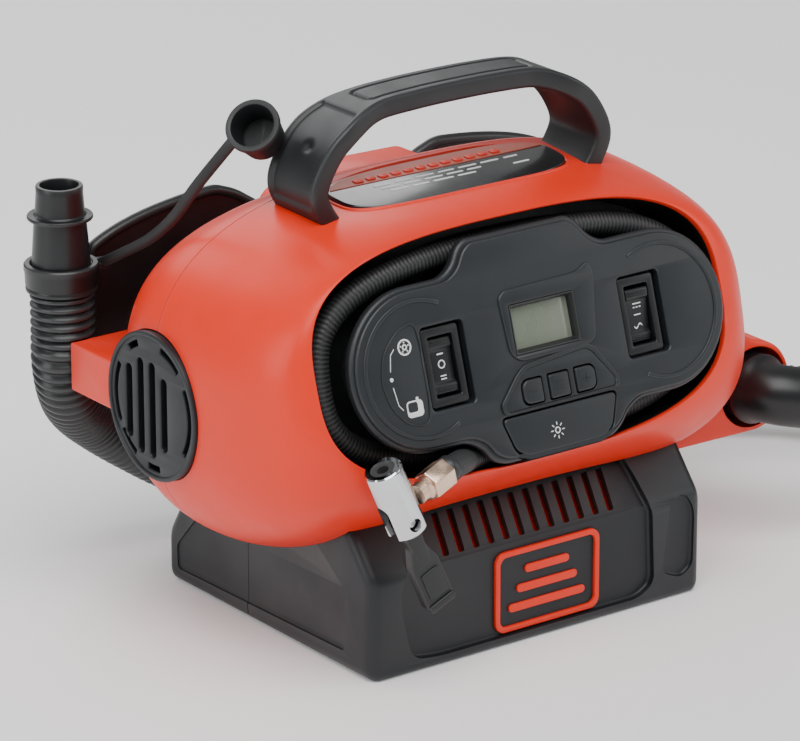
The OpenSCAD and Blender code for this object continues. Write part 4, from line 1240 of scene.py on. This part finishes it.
def make_buttons():
    """The three keys, the wide key under them, and their marks."""
    names = ("button_minus", "button_mode", "button_plus")
    for number, name in enumerate(names):
        panel_plate(name + "_key", [button_loop(number, BUTTON_W - 0.2)], -4.8, 1.3, 0.8, body=name,
                    nodes=[name])
    u = BUTTON_U
    marks = [("button_minus", [(u[0], BUTTON_V, 3.8, 0.7)]),
             ("button_plus", [(u[2], BUTTON_V, 3.8, 0.7), (u[2], BUTTON_V, 0.7, 3.8)]),
             ("button_mode", [(u[1], BUTTON_V + 1.4, 3.6, 0.6), (u[1], BUTTON_V, 3.6, 0.6),
                              (u[1], BUTTON_V - 1.4, 3.6, 0.6)])]
    for body, bars in marks:
        for i, (x, y, w, h) in enumerate(bars):
            panel_plate("%s_mark_%d" % (body, i), [box_loop((x, y), (w, h), 0.28, 2)], 1.1, 1.42, 0.06,
                        DIM_PRINT, body=body, slot="charcoal_plastic")
    panel_plate("light_key", [round_corners(light_loop, 3.2, 6)], -4.8, 0.35, 0.7, body="light_button",
                nodes=["light_button"])
    centre = (-1.6, -33.4)
    panel_plate("light_key_sun", [circle_loop(centre, 1.35, 28), circle_loop(centre, 0.85, 28)], 0.2,
                0.47, 0.05, WHITE, body="light_button", slot="charcoal_plastic")
    for i in range(8):
        turn = math.pi / 4 * i
        place = PANEL_PLACE @ Matrix.Translation((*centre, 0)) @ Matrix.Rotation(turn, 4, "Z")
        plate("light_key_ray_%d" % i, [box_loop((2.7, 0), (1.3, 0.42), 0.18, 2)], 0.2, 0.47, 0.04, place,
              WHITE, body="light_button", slot="charcoal_plastic")


def rocker_place(at, tilt):
    lean = spun(tilt, "X")
    return PANEL_PLACE @ Matrix.Translation((at[0], at[1], -7)) @ lean


def make_switch(side, at, tilt, body):
    """A rocker in its bezel, with grip lines and white marks."""
    outer = box_loop(at, (SWITCH_SIZE[0] - 0.2, SWITCH_SIZE[1] - 0.2), 1.4)
    inner = box_loop(at, (11.6, 23.6), 0.6)
    well = box_loop(at, (15, 26), 0.6)
    panel_plate(side + "_switch_bezel", [outer, inner], -5.6, -1.4, 0.7, BLACK,
                nodes=[side + "_switch_frame"])
    panel_plate(side + "_switch_well", [well], -15.5, -14.5, 0.2, BLACK, nodes=[side + "_switch_frame"])
    place = rocker_place(at, tilt)
    side_view = place @ Matrix.Scale(1 / MM, 4) @ ALONG_X
    crown = [(-10.6, -4.6), (-10.9, 4.0), (-7.4, 4.5), (-6.2, 3.4), (6.2, 3.4), (7.4, 4.5), (10.9, 4.0),
             (10.6, -4.6)]
    rocker = plate_mesh("rocker", [round_corners(crown, 0.9, 4)], -5.4, 5.4, 0.45, side_view)
    add_piece(side + "_rocker_cap", rocker, BLACK, body=body, nodes=[side + "_rocker"])
    for i in range(3):
        for s in (-1, 1):
            plate("%s_rocker_grip_%d_%d" % (side, i, s),
                  [box_loop((0, s * (8.0 + 0.9 * i)), (8.6, 0.4), 0.18, 2)], 3.3, 4.65, 0.1, place, BLACK,
                  body=body)
    marks = rocker_marks(side)
    for i, loops in enumerate(marks):
        plate("%s_rocker_mark_%d" % (side, i), loops, 3.3, 3.56, 0.05, place, WHITE, body=body,
              slot="black_plastic")


def rocker_marks(side):
    """White prints: one bar, a ring and two bars on the left, solid-and-dashed and a wave on the right."""
    if side == "power":
        return [[box_loop((0, 4.6), (3.0, 0.6), 0.2, 2)],
                [circle_loop((0, 0.6), 1.7, 28), circle_loop((0, 0.6), 1.2, 28)],
                [box_loop((0, -3.9), (2.8, 0.5), 0.2, 2)], [box_loop((0, -5.1), (2.8, 0.5), 0.2, 2)]]
    dashes = [[box_loop((x, 3.4), (0.9, 0.5), 0.2, 2)] for x in (-1.5, 0, 1.5)]
    wave_top = [(x / 4, -4.2 + 0.8 * math.sin(x / 4 * 1.6) + 0.3) for x in range(-8, 9)]
    wave_low = [(x, y - 0.6) for x, y in reversed(wave_top)]
    return [[box_loop((0, 4.9), (4.2, 0.5), 0.2, 2)], *dashes, [box_loop((0, 0.4), (3.4, 0.45), 0.2, 2)],
            [wave_top + wave_low]]


def make_icons():
    """The D-shaped field on the left lobe: a wheel, a mattress and the line that joins them."""
    field = round_corners([(-59.5, 21.5), (-68, 19.5), (-76, 12), (-79.2, 1), (-76.5, -10), (-70, -17.5),
                           (-60, -19.5), (-58.4, -10), (-58.2, 12)], 4, 6)
    inner = [(mix(x, -67, 0.045), mix(y, 1, 0.035)) for x, y in field]
    panel_plate("icon_field_edge", [field, inner], -0.3, 0.5, 0.25)
    wheel = (-65.6, 12.2)
    prints = [[circle_loop(wheel, 3.2, 36), circle_loop(wheel, 2.5, 36)],
              [circle_loop(wheel, 1.2, 24), circle_loop(wheel, 0.6, 24)],
              [circle_loop((-74.0, 1.2), 0.8, 20)]]
    for i in range(5):
        a = 2 * math.pi * i / 5 + 0.3
        spot = (wheel[0] + 1.85 * math.cos(a), wheel[1] + 1.85 * math.sin(a))
        prints.append([circle_loop(spot, 0.34, 12)])
    mattress = (-65.6, -11.6)
    prints.append([box_loop(mattress, (7.6, 6.4), 1.6, 4),
                   box_loop((mattress[0] - 0.9, mattress[1] + 0.7), (4.6, 3.8), 1.0, 4)])
    prints.append([box_loop((mattress[0] + 1.6, mattress[1] + 3.6), (1.2, 1.4), 0.3, 2)])
    line = 0.34
    for a, b in (((-70.6, 12.4), (-72.6, 10.4)), ((-72.6, 10.4), (-73.9, 4.2)),
                 ((-73.9, -1.8), (-72.8, -9.0)), ((-72.8, -9.0), (-71.0, -11.2))):
        a, b = Vector(a), Vector(b)
        across = (b - a).normalized().orthogonal() * line / 2
        prints.append([[tuple(a + across), tuple(b + across), tuple(b - across), tuple(a - across)]])
    for i, loops in enumerate(prints):
        panel_plate("panel_print_%d" % i, loops, 0.0, 0.22, 0.03, WHITE, slot="charcoal_plastic")


make_panel()
make_display()
make_buttons()
make_switch("power", LEFT_SWITCH, 0, "power_rocker")
make_switch("source", RIGHT_SWITCH, 8, "source_rocker")
make_icons()


# ---- materials of the CAD nodes that stay ----
def dress(names, material):
    for name in names:
        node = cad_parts[name]
        node.data.materials.clear()
        node.data.materials.append(material)


dress(("panel_hub", "cooling_fan", "blower_impeller", "blower_scroll"), BLACK)
dress(("base_feet", "chuck_seal"), RUBBER)
dress(("display_module", "button_board", "power_board"), BOARD)
dress(("motor_can", "motor_shaft", "crank_shaft", "blower_motor", "transformer", "shell_screws"), STEEL)
dress(("compressor_frame", "piston_rod", "cylinder", "cylinder_head"), CAST)
dress(("drive_pinion",), COPPER)
dress(("crank_gear",), NYLON)


# ---- floor and light ----
def make_floor():
    """A plain pale floor."""
    mesh = bpy.data.meshes.new("floor")
    size = 12
    mesh.from_pydata([(-size, -size, 0), (size, -size, 0), (size, size, 0), (-size, size, 0)], [],
                     [(0, 1, 2, 3)])
    floor = bpy.data.objects.new("floor", mesh)
    scene.collection.objects.link(floor)
    material, tree, shader, place = new_material("pale_floor")
    cloud = noise(tree, place, 900, 2)
    tree.links.new(blend_colour(tree, cloud, (0.90, 0.90, 0.90), (0.93, 0.93, 0.93)),
                   shader.inputs["Base Color"])
    shader.inputs["Roughness"].default_value = 0.6
    shader.inputs["Specular IOR Level"].default_value = 0.2
    shader.inputs["Emission Color"].default_value = (1, 1, 1, 1)
    shader.inputs["Emission Strength"].default_value = 0.12
    mesh.materials.append(material)


def area_light(name, at, aim, size, power):
    """A soft rectangular light, aimed at a point."""
    data = bpy.data.lights.new(name, "AREA")
    data.shape = "RECTANGLE"
    data.size, data.size_y = size
    data.energy = power
    light = bpy.data.objects.new(name, data)
    scene.collection.objects.link(light)
    light.location = at
    light.rotation_euler = (Vector(aim) - Vector(at)).to_track_quat("-Z", "Y").to_euler()


make_floor()
area_light("key", (-0.5, -0.9, 2.0), (0, 0, 0.1), (2.0, 1.6), 52)
area_light("fill", (1.9, -1.3, 1.0), (0, 0, 0.1), (1.0, 1.4), 11)
area_light("side", (-2.1, 0.2, 0.9), (0, 0, 0.1), (1.0, 1.4), 15)
area_light("back", (0.3, 2.0, 1.5), (0, 0, 0.12), (2.4, 1.2), 26)
world = bpy.data.worlds.new("studio")
scene.world = world
world.use_nodes = True
world.node_tree.nodes["Background"].inputs["Color"].default_value = (1, 1, 1, 1)
world.node_tree.nodes["Background"].inputs["Strength"].default_value = 0.30
